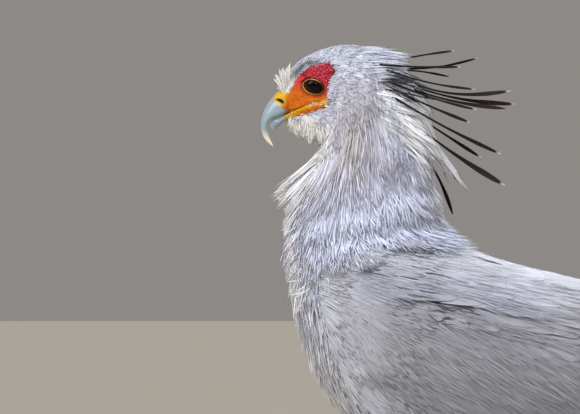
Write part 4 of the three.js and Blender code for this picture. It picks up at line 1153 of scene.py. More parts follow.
rng = dice(61)
plumes = Coat()
roots = scatter(trunk, HOOP_STEP, (8.0, 11.8), about(0, 0.95), 900, rng)
barbs_on_trunk(plumes, roots, rng, 42, 1.2, (-2, 7), 0.85, LONG_BARB, sway=0.34, size=15, seed=62)
plumes.build("nape_plumes", PALE_PLUMAGE, "plumage", "crest")

# %% [markdown]
# The tail is grey with a black band and a white tip. Its middle pair is far longer than the others.
# Soft coverts close its root above and below.

# %% Tail feathers
TAIL_X, TAIL_Z, TAIL_DROOP = 345, -262, math.radians(28)
TAIL_PAIRS = (690, 440, 428, 410, 388, 362)
TAIL_ROOT = 62.0  # how far down the tail its long feathers start
TAIL_SHARES = np.linspace(0, 1, 26) ** 0.85
TAIL_SWELL = np.interp(TAIL_SHARES, (0, 0.1, 0.4, 0.85, 0.96, 1), (8, 20, 33, 34, 26, 7))
TAIL_COVERTS = ((10, 90, 7), (34, 110, 6), (58, 128, 5))  # where each tier starts, its length and count
TAIL_GREY, TAIL_PALE, TAIL_WHITE = colour(146, 146, 152), colour(150, 150, 156), colour(232, 230, 228)
COVERT_PALE = colour(196, 196, 202)


def tail_face(face):
    def tail(along, across, up=0.0):
        up = face * up
        x = TAIL_X + along * math.cos(TAIL_DROOP) + up * math.sin(TAIL_DROOP)
        z = TAIL_Z - along * math.sin(TAIL_DROOP) + up * math.cos(TAIL_DROOP)
        return np.stack([x, across + 0 * x, z], -1)
    return tail


def tail_tint(along, long):
    """Grey, then a broad black band, then a white tip."""
    far = (1 - along) * long
    return layered(
        TAIL_GREY,
        (TAIL_PALE, along),
        (QUILL_BLACK, smoothstep(-far, -95, -70) * smoothstep(far, 22, 34)),
        (TAIL_WHITE, smoothstep(-far, -30, -22)),
    )


rng = dice(71)
tail = Coat()
for pair, long in enumerate(TAIL_PAIRS):
    for side in (-1, 1):
        turn, across = side * math.radians(0.4 * pair), side * (8 + 1.7 * pair)
        points, normals = follow(tail_face(1), WING_STEP, [TAIL_ROOT], [across], turn, long - TAIL_ROOT,
                                 TAIL_SHARES, (3 - 2.0 * pair, 6 + 0.7 * side - 2.5 * pair), 0.0, 0.4)
        shape = vane_mesh(points, normals, 1.0, 0.6, TAIL_SWELL, WIDE, 0.08, -0.05 * side, 0.6)
        tints = tail_tint(shape[2][:, 0], long)
        place = [(0.1 + 0.07 * (2 * pair + (side > 0)), 0.5)]
        tail.add(shape, place, tints[None], np.array([rng.uniform(0.3, 0.7)]))
for face in (1, -1):
    for tier, (start, long, count) in enumerate(TAIL_COVERTS):
        across = np.linspace(-24, 24, count) + rng.uniform(-2, 2, count)
        points, normals = follow(tail_face(face), WING_STEP, np.full(count, float(start)), across,
                                 across * 0.004, long * rng.uniform(0.85, 1.1, count), FLIGHT_SHARES,
                                 (20.0 - 3 * tier, 13.0 - 2 * tier), 0.0, 0.8)
        shape = vane_mesh(points, normals, 22.0, 0.5, FLIGHT, MIDDLING, 0.15)
        place = np.stack([0.1 + across / 900, 0.9 + 0 * across], -1)
        tail.add(shape, place, plain(COVERT_PALE, count), rng.uniform(0, 1, count))
tail.build("tail_feathers", WING_PLUMAGE, "wing_plumage", "tail")

# %% [markdown]
# Black feathered breeches cover the legs down to just above the ankle joint, which looks like a knee
# turned backwards. Their strands lie straight down and end in a ragged hem about the bare shin.

# %% Legs, laid out
SPREAD, STAGGER, FOOT_X, TOE_TOP = 55, 26, 158, 18
ANKLE_X, ANKLE_HEIGHT, HEM_X, HEM_HEIGHT, KNEE_X, KNEE_HEIGHT = 18, 318, 2, 376, -50, 622
THIGH = [(38, 22), (50, 29), (50, 32), (42, 28), (32, 23.5), (23, 18.5), (16, 14)]
CORE_HOOPS, CORE_SINK = 9, 2.5
THIGH_STEP = (0.01, 0.02)


def leg_points(side):
    """The foot, the ankle joint, the hem of the breeches and the hidden knee of one leg."""
    x, y = FOOT_X + side * STAGGER, side * SPREAD
    spots = ((x, y, 0), (x + ANKLE_X, y, ANKLE_HEIGHT), (x + HEM_X, y, HEM_HEIGHT),
             (FOOT_X + KNEE_X, 0.8 * y, KNEE_HEIGHT))
    return [np.array([spot[0], spot[1], spot[2] - EYE_HEIGHT]) for spot in spots]


def thigh_size(share):
    return through(THIGH, share * (len(THIGH) - 1))


def thigh_side(side):
    hem, knee = leg_points(side)[2:]

    def thigh(share, angle, out=0.0):
        size = thigh_size(share) + out
        ring = np.stack([-size[..., 0] * np.cos(angle), size[..., 1] * np.sin(angle), 0 * angle], -1)
        return knee + (hem - knee) * share[..., None] + ring
    return thigh


def thigh_core(word, side):
    hem, knee = leg_points(side)[2:]
    stations = []
    for share in np.linspace(0, 1, CORE_HOOPS):
        deep, wide = thigh_size(share) - CORE_SINK
        stations.append((*(knee + (hem - knee) * share), wide, deep, math.pi / 2))
    core = sweep("thigh_core_" + word, stations, 16)
    store_tint(core.data, plain(SOOT, len(core.data.vertices)))
    dress(core, down, "black_plumage")


def thigh_feathers(word, side):
    rng = dice(81, side)
    share, angle, here = scatter(thigh_side(side), THIGH_STEP, (0.0, 0.97), ALL_ROUND, 2800, rng)
    count = len(share)
    lock = ripple(here[:, 0], here[:, 2], 22, 83)
    shape = strands(thigh_side(side), THIGH_STEP, share, angle, 0.2 * lock, rng.uniform(24, 36, count),
                    LONG_BARB, (-1.5, rng.uniform(1.5, 5, count)), rng.uniform(2, 3.4, count), 0.5, 0.3)
    place = np.stack([0.02 + 0.9 * share, 0.5 + angle / FLAT_ROUND], -1)
    coat = Coat()
    coat.add(shape, place, plain(SOOT, count), rng.uniform(0, 1, count))
    coat.build("thigh_feathers_" + word, DARK_PLUMAGE, "black_plumage", "thigh_" + word)


for word, side in SIDES:
    thigh_core(word, side)
    thigh_feathers(word, side)

# %% [markdown]
# The bill, the legs and the toes are long forms whose section changes all the way. Each one starts as a
# flat grid, which is rolled up by a rule: one side of the grid runs along the form and the other round it.

# %% Rolling a grid into a form
END = 1e-4  # how near a form's end a row of the grid is gathered into one point


def rolled(name, along, around, rule):
    """rule(share, angle) gives the point on the drawing for a place along and round the form."""
    alone()
    bpy.ops.mesh.primitive_grid_add(x_subdivisions=along, y_subdivisions=around, size=1, location=(0, 0, 0))
    piece = bpy.context.object
    flat = np.empty(3 * len(piece.data.vertices))
    piece.data.vertices.foreach_get("co", flat)
    flat = flat.reshape(-1, 3) + 0.5
    share, angle = flat[:, 0], 2 * np.pi * flat[:, 1]
    points = rule(share, angle)
    for end in (share < END, share > 1 - END):
        points[end] = points[end].mean(0)
    piece.data.vertices.foreach_set("co", to_frame(points).ravel())
    settled(piece, name)
    smooth(piece.data)
    return piece


def joined(pieces, name):
    """Joins pieces into the first of them."""
    alone()
    for piece in pieces:
        piece.select_set(True)
    bpy.context.view_layer.objects.active = pieces[0]
    bpy.ops.object.join()
    pieces[0].name = pieces[0].data.name = name
    return pieces[0]


def remeshed(piece, voxel, easings):
    """Gives joined forms one skin of small faces, and eases the steps out of it."""
    alone()
    bpy.context.view_layer.objects.active = piece
    piece.select_set(True)
    piece.data.remesh_voxel_size = voxel
    bpy.ops.object.voxel_remesh()
    applied(piece, "SMOOTH", factor=0.5, iterations=easings)


def jaw_rule(stations, first, last, grow, egg, blunt=0.0):
    """A jaw between two of its stations: ridge (x, z), cutting edge (x, z) and half width."""
    def rule(share, angle):
        jaw = through(stations, first + (last - first) * share)
        centre, rise = (jaw[..., 0:2] + jaw[..., 2:4]) / 2, (jaw[..., 0:2] - jaw[..., 2:4]) / 2
        up = np.cos(angle) * (1 + grow / np.linalg.norm(rise, axis=-1))
        wide = (jaw[..., 4] + grow) * np.sign(np.sin(angle)) * np.abs(np.sin(angle)) ** (1 - blunt)
        wide = wide * (1 - egg * np.cos(angle))
        return np.stack([centre[..., 0] + rise[..., 0] * up, wide, centre[..., 1] + rise[..., 1] * up], -1)
    return rule


def tucked(outline):
    """A rule that sinks a form where it lies outside an outline in side view, so skin covers it there."""
    def change(spots, normals):
        gap = edge_distance(outline, spots[:, 0], spots[:, 2])
        return spots - normals * (TUCK * smoothstep(gap, 0.2, 3.2))[:, None]
    return change


# %% [markdown]
# The horn of the bill is blue-grey and cream at the hook. It is smooth, with faint growth lines and a
# soft polish.

# %% Bill
UPPER_JAW = [
    [-39.7, -57.6, -39.3, -57.4, 0.4], [-44.7, -53.7, -41.5, -52.7, 1.2], [-48.9, -48, -43.7, -47.5, 2.2],
    [-51, -39.9, -45.6, -39.9, 3.6], [-50.6, -31.4, -43.2, -33.7, 5], [-48.5, -23.8, -38, -30.4, 6.2],
    [-44.7, -16.6, -30.4, -27.8, 7.4], [-38.5, -9, -22.6, -23.6, 8.8], [-32.3, -3.8, -12.4, -18, 10.5],
    [-21.9, 1.9, 1, -13.3, 13],
]
LOWER_JAW = [
    [-42.3, -36.2, -41.6, -38.8, 0.8], [-39.8, -31.6, -39.6, -41.3, 3], [-33.8, -29.8, -34.2, -38.4, 5.4],
    [-28, -26.8, -27, -33.3, 8], [-18, -22, -17, -29.5, 11.5], [-4.8, -17.4, -3.8, -25.7, 14],
    [8.6, -12.7, 9.5, -21, 15],
]
CERE_EDGE = [(-39, -2), (-39, -12), (-38.4, -15.8), (-35.2, -18.9), (-30.8, -21.6), (-26.5, -22.6),
             (-21.8, -22.2), (-17.5, -21.6)]
LOWER_HORN = [(-28.8, -20), (-28.8, -28), (-27.2, -33.6), (-27, -45), (-60, -45), (-60, -20)]
UPPER_HORN = CERE_EDGE + [(-17.5, -70), (-70, -70), (-70, -2)]
BOTH_HORNS = CERE_EDGE + [(-22, -24.2)] + LOWER_HORN[1:4] + [(-70, -45), (-70, -2)]
TUCK = 4.6  # how deep a horn's root sinks under the skin
JAW_EGG, LOWER_EGG, BLUNT = 0.2, -0.15, 0.12
HORN_LIGHT, HORN_DARK, RIDGE_SHINE = colour(156, 172, 182), colour(128, 146, 158), colour(226, 232, 232)
HOOK_CREAM = colour(232, 220, 188)


def horn_finish(name, tone):
    look = Finish(name, Specular_IOR_Level=0.5, Coat_Roughness=0.2)
    x, y, z = look.parts(look.place())
    bands = look.noise(0.12, 3.0, stretch=(0.6, 0.6, 3))
    cream = (0 - z + bands * 4).rise(42, 55)
    base = look.mix(HORN_LIGHT, HORN_DARK, bands)
    ridge = 1 - y.math("ABSOLUTE").rise(0.4, 3.0)
    base = look.mix(base, RIDGE_SHINE, ridge * (0 - x).rise(34, 44) * 0.7)
    base = look.mix(base, HOOK_CREAM, cream)
    fine = look.noise(0.8, 4.0, stretch=(1, 1, 0.3))
    base = look.mix(base, look.grey(fine * 0.12 + tone - 0.06), 1.0, "MULTIPLY")
    return look.finish(base, fine * 0.16 + 0.24, fine, 0.2, 0.0003, coat=bands * 0.2 + 0.15)


upper = rolled("bill_upper_horn", 90, 48, jaw_rule(UPPER_JAW, 8.3, 0, 0.0, JAW_EGG, BLUNT))
reshaped(upper, tucked(UPPER_HORN))
dress(upper, horn_finish("bill_horn", 1.0), "bill_horn", "bill_upper")
lower = rolled("bill_lower_horn", 60, 40, jaw_rule(LOWER_JAW, 4.6, 0, 0.0, LOWER_EGG))
reshaped(lower, tucked(LOWER_HORN))
dress(lower, horn_finish("bill_horn_lower", 0.82), "bill_horn", "bill_lower")
print("the bill has", len(upper.data.polygons) + len(lower.data.polygons), "faces")

# %% [markdown]
# The bare face is one skin over the forehead, the roots of both jaws and the brow. These are put
# together as closed forms and remeshed into one fine surface, so they flow into each other. Then lids,
# nostrils, the gape and wrinkles are pressed in by rules in side view, alike on both sides.

# %% Bare face
EYE_Y, EYE_RADIUS = 13, 12.5
LID_LONG, LID_TALL, LID_TILT, LID_DROP = 10.2, 7.0, math.radians(19), 1.3
NOSTRIL_X, NOSTRIL_Z, NOSTRIL_TILT = -33, -14, math.radians(28)
NOSTRIL_LONG, NOSTRIL_TALL, NOSTRIL_TAPER, NOSTRIL_CURL = 4.4, 1.4, 0.1, 0.05
SKULL_SWELL, JAW_SWELL = 1.5, 0.2
FACE_VOXEL, FACE_EASINGS = 0.0008, 8


def mouth_height(x):
    """The curved line of the closed mouth."""
    return x * 0.27 - x * x * 0.0045 - 16.2


def tilted(x, z, tilt):
    return x * math.cos(tilt) - z * math.sin(tilt), x * math.sin(tilt) + z * math.cos(tilt)


def lid_share(x, z):
    """1 on the rim of the lids and less inside it."""
    along, up = tilted(x - EYE_X, z + LID_DROP, LID_TILT)
    return ((along / LID_LONG) ** 2 + (up / LID_TALL) ** 2) ** 0.5


def nostril_share(x, z):
    """1 on the rim of the nostril, a slanting comma, and less inside it."""
    along, aside = tilted(x - NOSTRIL_X, z - NOSTRIL_Z, NOSTRIL_TILT)
    aside = aside + along * along * NOSTRIL_CURL
    return ((along / NOSTRIL_LONG) ** 2 + (aside / (along * NOSTRIL_TAPER + NOSTRIL_TALL)) ** 2) ** 0.5


def face_relief(spots, normals):
    x, y, z = spots.T
    horn_gap, edge_gap = edge_distance(BOTH_HORNS, x, z), edge_distance(FACE_EDGE, x, z)
    out = -1.3 + 1.6 * smoothstep(horn_gap, -0.9, 0.4)
    out -= 1.3 * smoothstep(edge_gap, -1.8, 0.8) * smoothstep(horn_gap, 4, 9)
    lid = lid_share(x, z)
    sideways = smoothstep(np.abs(y), 9, 14)
    out += sideways * (1.1 * np.exp(-((lid - 1.16) / 0.13) ** 2) - 0.5 * np.exp(-((lid - 1.42) / 0.08) ** 2))
    out -= sideways * 6.5 * (1 - smoothstep(lid, 0.9, 1.02))
    brow = np.exp(-(((x - 2) / 17) ** 2 + ((z - 12.5 - 0.12 * x) / 4.5) ** 2))
    out += sideways * 2.6 * brow * (1 - smoothstep(edge_gap, -5, 0))
    hood = np.exp(-((lid - 1.3) / 0.22) ** 2) * smoothstep(z + 0.35 * x, 2, 7)
    out += sideways * 1.5 * hood * (1 - smoothstep(edge_gap, -5, 0))
    gape = z - mouth_height(x)
    mouth = smoothstep(np.abs(y), 4, 7) * smoothstep(-x, -8, -3)
    lips = 0.8 * np.exp(-((gape + 1.7) / 1.1) ** 2) + 0.4 * np.exp(-((gape - 2.2) / 1.2) ** 2)
    out += mouth * (lips - 1.5 * np.exp(-(gape / 0.7) ** 2))
    slit = nostril_share(x, z)
    out += 0.5 * np.exp(-((slit - 1.5) / 0.4) ** 2) - 2.0 * (1 - smoothstep(slit, 0.6, 1.2))
    pebbles = ripple(x, z, 2.6, 91) + 0.7 * ripple(x + z, y, 1.7, 92)
    rough = 0.1 + 0.3 * smoothstep(z + 0.3 * x, -4, 8)
    out += pebbles * rough * smoothstep(lid, 1.1, 1.3) * smoothstep(horn_gap, 0.5, 3)
    return spots + normals * out[:, None]


def face_finish():
    look = Finish("face_skin", Specular_IOR_Level=0.18, Subsurface_Weight=0.1, Subsurface_Scale=0.002)
    spot = look.place()
    x, y, z = look.parts(spot)
    pebble = look.node("TexVoronoi", {"feature": "DISTANCE_TO_EDGE"},
                       {"Vector": spot, "Scale": 0.42, "Randomness": 1.0})
    # The grooves between the skin's small bumps get painted shade, on the orange and on the red skin.
    groove_shade = 1 - pebble.rise(0.03, 0.28)
    wander = look.noise(0.25, 3.0)
    slope = z + x * 0.3 + (wander - 0.5) * 5
    base = look.mix(colour(188, 82, 0), colour(204, 106, 3), wander.rise(0.35, 0.65))
    base = look.mix(base, colour(168, 66, 8), groove_shade * (slope.rise(-14, -5) * 0.7 + 0.12))
    gape = z - mouth_height(x)
    yellow = (gape + 1.2 + (wander - 0.5) * 2).math("ABSOLUTE")
    base = look.mix(base, colour(208, 146, 4), 1 - yellow.rise(0.8, 3.6))
    base = look.mix(base, colour(206, 158, 8), (1 - gape.rise(-1, 1)) * (1 - x.rise(-22, -12)) * 0.9)
    base = look.mix(base, colour(214, 168, 34), 1 - (x - z * 0.35 + (wander - 0.5) * 4).rise(-27, -20))
    pale = (1 - (x - z * 0.8).rise(-21, -15)) * (0 - z).rise(13, 18)
    base = look.mix(base, colour(206, 206, 170), pale * 0.75)
    base = look.mix(base, colour(206, 62, 56), slope.rise(-10, -1))
    red = look.mix(colour(214, 66, 82), colour(120, 12, 32), groove_shade)
    # Painted highlights on the tops of the red skin's bumps.
    red = look.mix(red, colour(246, 170, 176), pebble.rise(0.3, 0.6) * wander.rise(0.4, 0.6))
    base = look.mix(base, red, slope.rise(-1, 7))
    base = look.mix(base, colour(50, 16, 12), (1 - lid_share(x, z).rise(1.08, 1.28)) * 0.9)
    # Painted shade along the crease of the closed mouth, darkest at its front where the horns meet.
    mouth_line = 1 - gape.math("ABSOLUTE").rise(0.15, 0.75)
    base = look.mix(base, colour(168, 96, 6), mouth_line * (1 - x.rise(3, 8)))
    base = look.mix(base, colour(66, 48, 24), mouth_line * (1 - x.rise(-16, -9)) * 0.9)
    slit = nostril_share(x, z)
    base = look.mix(base, colour(168, 130, 40), (1 - slit.rise(1.2, 2.0)) * 0.6)
    # The inside of the nostril is painted near black as shade.
    base = look.mix(base, colour(22, 14, 6), 1 - slit.rise(0.75, 1.1))
    return look.finish(base, wander * 0.2 + 0.4, pebble.rise(0.0, 0.3) + wander * 0.5, 0.6, 0.0005)


skull = [(*place, wide + SKULL_SWELL, tall + SKULL_SWELL, tilt)
         for *place, wide, tall, tilt in trunk_stations(0, 5.4, 14, 0)]
forms = [sweep("face_skull", skull, SKIN_SIDES),
         rolled("cere", 40, 40, jaw_rule(UPPER_JAW, 9, 5.2, JAW_SWELL, JAW_EGG, BLUNT)),
         rolled("gape", 40, 40, jaw_rule(LOWER_JAW, 6, 2.2, JAW_SWELL, LOWER_EGG))]
face = joined(forms, "face_bare_skin")
remeshed(face, FACE_VOXEL, FACE_EASINGS)
reshaped(face, face_relief)
bpy.ops.object.mode_set(mode="EDIT")
bpy.ops.mesh.select_all(action="DESELECT")
mesh = bmesh.from_edit_mesh(face.data)
x, _, z = ((np.array([v.co for v in mesh.verts]) - ZERO) / MM).T
hidden = (edge_distance(FACE_EDGE, x, z) > 2.2) | (edge_distance(BOTH_HORNS, x, z) < -2.5)
for vertex, gone in zip(mesh.verts, hidden):
    vertex.select_set(bool(gone))
mesh.select_flush(True)
bpy.ops.mesh.delete(type="VERT")
bpy.ops.object.mode_set(mode="OBJECT")
smooth(face.data)
dress(face, face_finish(), "face_skin", "face")
print("the bare face has", len(face.data.polygons), "faces")

# %% [markdown]
# The eye is a glossy ball with a window that stands a little proud in front. Its iris is deep brown
# about a round pupil. A narrow orange rim lines the lids, and long black lashes stand over it.

# %% Eyes, lids and lashes
EYE_FLOOR, WINDOW_RISE = 7, 0.7
LID_FIT, RIM_THICK, LASHES, LASH_LONG, LASH_FALL = 0.99, 8, 20, 7.5, 3.2
LASH_OUTLINE = (1, 1, 0.9, 0.7, 0.4, 0)
LASH_BLACK = colour(12, 10, 10)


def eye_finish(name):
    look = Finish(name, Specular_IOR_Level=0.06, Roughness=0.12, Coat_Roughness=0.02, Coat_Weight=0.14)
    x, y, z = look.parts(look.place())
    far = (((x - EYE_X) ** 2) + (z ** 2)).math("SQRT")
    turn = (z / (x - EYE_X + 0.001)).math("ARCTANGENT")
    rays = look.node("TexNoise", None, {"Vector": look.node("CombineXYZ", None, {0: turn, 1: far * 0.12}),
                                        "Scale": 9.0, "Detail": 3.0})
    base = look.mix(colour(30, 18, 12), colour(66, 40, 22), rays * far.rise(4, 9))
    base = look.mix(colour(5, 4, 5), base, far.rise(4.9, 5.6))
    base = look.mix(base, colour(12, 8, 6), far.rise(8.2, 9.6))
    return look.finish(base)


def rim_finish():
    look = Finish("lid_rim", Specular_IOR_Level=0.5)
    grain = look.noise(0.8, 3.0)
    tone = look.mix(colour(206, 112, 20), colour(232, 160, 50), grain)
    return look.finish(tone, grain * 0.2 + 0.3, grain, 0.3, 0.0002)


def lash(angle, side):
    """One lash: it stands out from the upper lid, leans forward and falls under its own weight."""
    x, z = tilted(LID_LONG * math.cos(angle), (LID_TALL + 0.9) * math.sin(angle), -LID_TILT)
    root = np.array([EYE_X + x, side * 21.6, z - LID_DROP])
    shares = np.linspace(0, 1, len(LASH_OUTLINE))[:, None]
    way = np.array([-0.45 + 0.35 * math.cos(angle), side * 0.8, 0.05])
    line = root + way * shares * LASH_LONG + np.array([-0.6, 0, -1.0]) * LASH_FALL * shares ** 2
    normal = np.tile([0, 0.3 * side, 1.0], (len(line), 1))
    return barb_mesh(line[None], unit(normal)[None], 0.5, 0.3, LASH_OUTLINE)


def eye_middle(side):
    return to_frame((EYE_X, side * EYE_Y, 0))


def window_rule(side):
    """Makes the clear window stand a little proud of the eyeball."""
    def window(spots, normals):
        far = np.hypot(spots[:, 0] - EYE_X, spots[:, 2])
        front = side * spots[:, 1] > EYE_Y
        return spots + np.array([0, side, 0]) * (WINDOW_RISE * (1 - smoothstep(far, 3, 8)) * front)[:, None]
    return window


def eyeball(word, side):
    alone()
    bpy.ops.mesh.primitive_uv_sphere_add(segments=64, ring_count=40, radius=EYE_RADIUS * MM,
                                         rotation=(math.pi / 2, 0, 0), location=eye_middle(side))
    ball = settled(bpy.context.object, "eyeball_" + word)
    bpy.ops.object.mode_set(mode="EDIT")
    bpy.ops.mesh.select_all(action="SELECT")
    bpy.ops.mesh.bisect(plane_co=to_frame((EYE_X, side * EYE_FLOOR, 0)), plane_no=(0, side, 0),
                        clear_inner=True, use_fill=True)
    bpy.ops.object.mode_set(mode="OBJECT")
    reshaped(ball, window_rule(side))
    smooth(ball.data)
    dress(ball, eye_finish("eye_" + word), "eye", "eye_" + word)


def lid_rule(side):
    """Lays a ring of radius 1 over the eyeball, along the rim of the lids."""
    def lid_line(spots, normals):
        around = np.arctan2(spots[:, 2], spots[:, 0] - EYE_X)
        inward = np.hypot(spots[:, 0] - EYE_X, spots[:, 2]) - 1
        deep = (spots[:, 1] - side * EYE_Y) * side
        long, tall = LID_LONG * LID_FIT + RIM_THICK * inward, LID_TALL * LID_FIT + RIM_THICK * inward
        x, z = tilted(long * np.cos(around), tall * np.sin(around), -LID_TILT)
        z = z - LID_DROP
        ball_y = EYE_Y + np.sqrt(np.maximum(EYE_RADIUS ** 2 - x ** 2 - z ** 2, 4))
        return np.stack([EYE_X + x, side * (ball_y + 0.5 + 10 * deep), z], -1)
    return lid_line


def lid_rim(word, side):
    alone()
    bpy.ops.mesh.primitive_torus_add(major_segments=72, minor_segments=12, major_radius=MM,
                                     minor_radius=0.07 * MM, rotation=(math.pi / 2, 0, 0),
                                     location=eye_middle(side))
    rim = settled(bpy.context.object, "lid_rim_" + word)
    reshaped(rim, lid_rule(side))
    smooth(rim.data)
    dress(rim, rim_look, "face_skin")


rim_look = rim_finish()
lash_coat = Coat()
for word, side in SIDES:
    eyeball(word, side)
    lid_rim(word, side)
    for angle in np.radians(np.linspace(12, 165, LASHES)) + dice(93).normal(0, 0.03, LASHES):
        place = [(0.5 + 0.002 * len(lash_coat.parts), 0.5)]
        lash_coat.add(lash(angle, side), place, np.array([LASH_BLACK]), np.array([0.5]))
lash_coat.build("lashes", DARK_PLUMAGE, "black_plumage")

# %% [markdown]
# The long legs are bare, with broad plates down the front and small scales behind. The plates are part
# of the form: each one swells towards its lower edge and then steps back in.

# %% Shanks
# how far below the shank's top, and its half width there
SHIN = [(0, 8.4), (46, 8.6), (72, 11.2), (86, 12.4), (98, 11.4), (112, 8.6), (150, 7.6), (250, 7.0),
        (320, 7.2), (352, 8.6), (360, 9.6)]
PLATE, TOE_PLATE = 13.5, 5.2
SHANK_TOP = 14  # how far the shank reaches up under the breeches
LEG_PALE, LEG_PINK, LEG_SEAM = colour(208, 184, 168), colour(184, 164, 152), colour(120, 100, 92)


def scaled_skin():
    look = Finish("leg_skin", Specular_IOR_Level=0.4)
    cells = look.node("TexVoronoi", {"feature": "DISTANCE_TO_EDGE"},
                      {"Vector": look.place(), "Scale": 0.42, "Randomness": 0.75})
    front, count, _ = look.parts(look.attribute("plates", "Vector"))
    share = count.math("FRACT")
    edge = share.rise(0.8, 0.93) * (1 - share.rise(0.95, 1.0)) * 0.9
    seams = (1 - cells.rise(0.02, 0.16)) * (1 - front) + edge * front
    wear = look.noise(0.15, 4.0)
    streaks = look.noise(0.6, 4.0, stretch=(1, 1, 0.4))
    tone = look.mix(LEG_PALE, LEG_PINK, front * streaks.rise(0.4, 0.7))
    tone = look.mix(tone, LEG_SEAM, seams * 0.42 + wear * 0.32)
    height = cells.rise(0.0, 0.25) * (1 - front) + (1 - edge) * front
    return look.finish(tone, wear * 0.2 + 0.45, height + streaks * 0.15, 0.5, 0.0006)


def plated(piece, front, count):
    """Stores where a form has broad plates, and the number of the plate that each point is on."""
    number = count(corners_of(piece))
    facing = smoothstep(normals_of(piece) @ np.array(front), 0.3, 0.6)
    store_vectors(piece.data, "plates", np.stack([facing, number, 0 * number], -1))


def shank_line(side):
    """The shank's middle, from the toes up to where it ends under the breeches."""
    foot, ankle, hem, _ = leg_points(side)
    return [foot + np.array([0, 0, TOE_TOP - 3]), ankle + np.array([-1, 0, -22]), ankle,
            hem + (ankle - hem) * 0.6, hem, hem + np.array([0, 0, SHANK_TOP])]


def shank_rule(line):
    """A shank with plates down its front and small scales behind."""
    bottom, top = line[0], line[-1]
    middle = [(spot[2], spot[0]) for spot in line]

    def shank(share, angle):
        z = top[2] + (bottom[2] - top[2]) * share
        far = top[2] - z
        front = smoothstep(np.cos(angle), 0.25, 0.55)
        frac = (far / PLATE) % 1
        swell = front * (1.1 * smoothstep(frac, 0.02, 0.35) * (1 - smoothstep(frac, 0.86, 0.97)) - 0.3)
        back = (1 - front) * 0.35 * np.sin(far * 1.4 + 2 * angle) * np.sin(far * 1.4 - 2 * angle + 1)
        out = read_off(SHIN, far) + (swell + back) * smoothstep(far, 16, 30)
        x = read_off(middle, z) - out * 1.06 * np.cos(angle)
        return np.stack([x, top[1] + out * 0.96 * np.sin(angle), z], -1)
    return shank


leg_skin = scaled_skin()
for word, side in SIDES:
    line = shank_line(side)
    top = line[-1]
    piece = rolled("scaled_shank_" + word, 300, 40, shank_rule(line))
    plated(piece, (-1, 0, 0), lambda spots: (top[2] - spots[:, 2]) / PLATE)
    dress(piece, leg_skin, "leg_skin", "shank_" + word)
print("each shank has", len(piece.data.polygons), "faces")

# %% [markdown]
# Each foot is three short front toes, a hind toe and a pad, put together and remeshed so that webs and
# creases flow. The toes carry plates on top, and a curved claw ends each one.

# %% Feet and claws
# name, length, turn from straight ahead in degrees, thickness, length of the claw
TOES = [("inner", 40, 34, 6.2, 19), ("middle", 58, 2, 6.8, 18), ("outer", 44, -32, 6.2, 17),
        ("hind", 26, 180, 5.6, 18)]
PAD_RADIUS, PAD_TAPER, PAD_TALL = 10.6, 1.6, 17
FOOT_VOXEL, FOOT_EASINGS, CLEARANCE = 0.001, 2, 0.05


def claw_finish():
    look = Finish("claw_horn", Specular_IOR_Level=0.5)
    grain = look.noise(0.5, 4.0, stretch=(0.3, 0.3, 1))
    tone = look.mix(colour(36, 31, 29), colour(82, 72, 66), grain)
    return look.finish(tone, grain * 0.2 + 0.3, grain, 0.3, 0.0003)


def toe_rule(foot, way, stations, plates):
    """A toe or claw over the ground: stations are (reach, height, radius)."""
    aside = np.array([-way[1], way[0], 0])

    def rule(share, angle):
        reach, height, radius = through(stations, share * (len(stations) - 1)).T
        frac = (reach / TOE_PLATE) % 1
        top = smoothstep(np.cos(angle), 0.2, 0.6) * plates
        out = radius + top * (0.8 * smoothstep(frac, 0.0, 0.5) * (1 - smoothstep(frac, 0.8, 0.98)) - 0.2)
        point = foot + way * reach[:, None] + aside * (out * np.sin(angle))[:, None]
        point[:, 2] += height + out * np.cos(angle) * 0.94
        return point
    return rule


def on_ground(spots, normals):
    """A rule that keeps a foot from sinking into the ground."""
    return np.column_stack([spots[:, 0], spots[:, 1], np.maximum(spots[:, 2], CLEARANCE - EYE_HEIGHT)])


def toe_and_claw(foot, side, toe):
    _, long, turn, thick, claw = toe
    way = np.array([-math.cos(math.radians(turn)), -side * math.sin(math.radians(turn)), 0])
    pads = [(-2, 9, 6.5), (0.22 * long, 8, thick * 1.16), (0.42 * long, thick * 0.94, thick * 0.92),
            (0.64 * long, thick * 1.0, thick * 1.06), (0.84 * long, thick * 0.9, thick * 0.9),
            (0.97 * long, thick * 0.84, thick * 0.84), (1.02 * long, thick * 0.8, 1)]
    horn = [(long - 4, thick * 0.95, 2.4), (long, thick * 0.95, 3.4), (long + 0.3 * claw, thick * 0.86, 3.0),
            (long + 0.62 * claw, thick * 0.6, 2.1), (long + 0.88 * claw, 2.3, 1.0), (long + claw, 1.2, 0.3)]
    return (rolled("toe", 60, 24, toe_rule(foot, way, pads, 1)),
            rolled("claw", 30, 16, toe_rule(foot, way, horn, 0)))


def pad_rule(foot):
    """The pad that the toes grow out of, narrower towards its top."""
    def pad(share, angle):
        radius = PAD_RADIUS - PAD_TAPER * share
        return foot + np.stack([-radius * np.cos(angle), radius * np.sin(angle), 2 + PAD_TALL * share], -1)
    return pad


claw_horn = claw_finish()
for word, side in SIDES:
    foot = leg_points(side)[0]
    toes, claws = zip(*[toe_and_claw(foot, side, toe) for toe in TOES])
    body = joined([*toes, rolled("pad", 20, 32, pad_rule(foot))], "scaled_foot_" + word)
    nails = joined(claws, "claws_" + word)
    remeshed(body, FOOT_VOXEL, FOOT_EASINGS)
    for piece in (body, nails):
        reshaped(piece, on_ground)
        smooth(piece.data)
    plated(body, (0, 0, 1), lambda spots: np.hypot(spots[:, 0] - foot[0], spots[:, 1] - foot[1]) / TOE_PLATE)
    dress(body, leg_skin, "leg_skin", "foot_" + word)
    dress(nails, claw_horn, "claw_horn", *["claw_" + word + "_" + toe[0] for toe in TOES])
print("both feet stand on the ground")

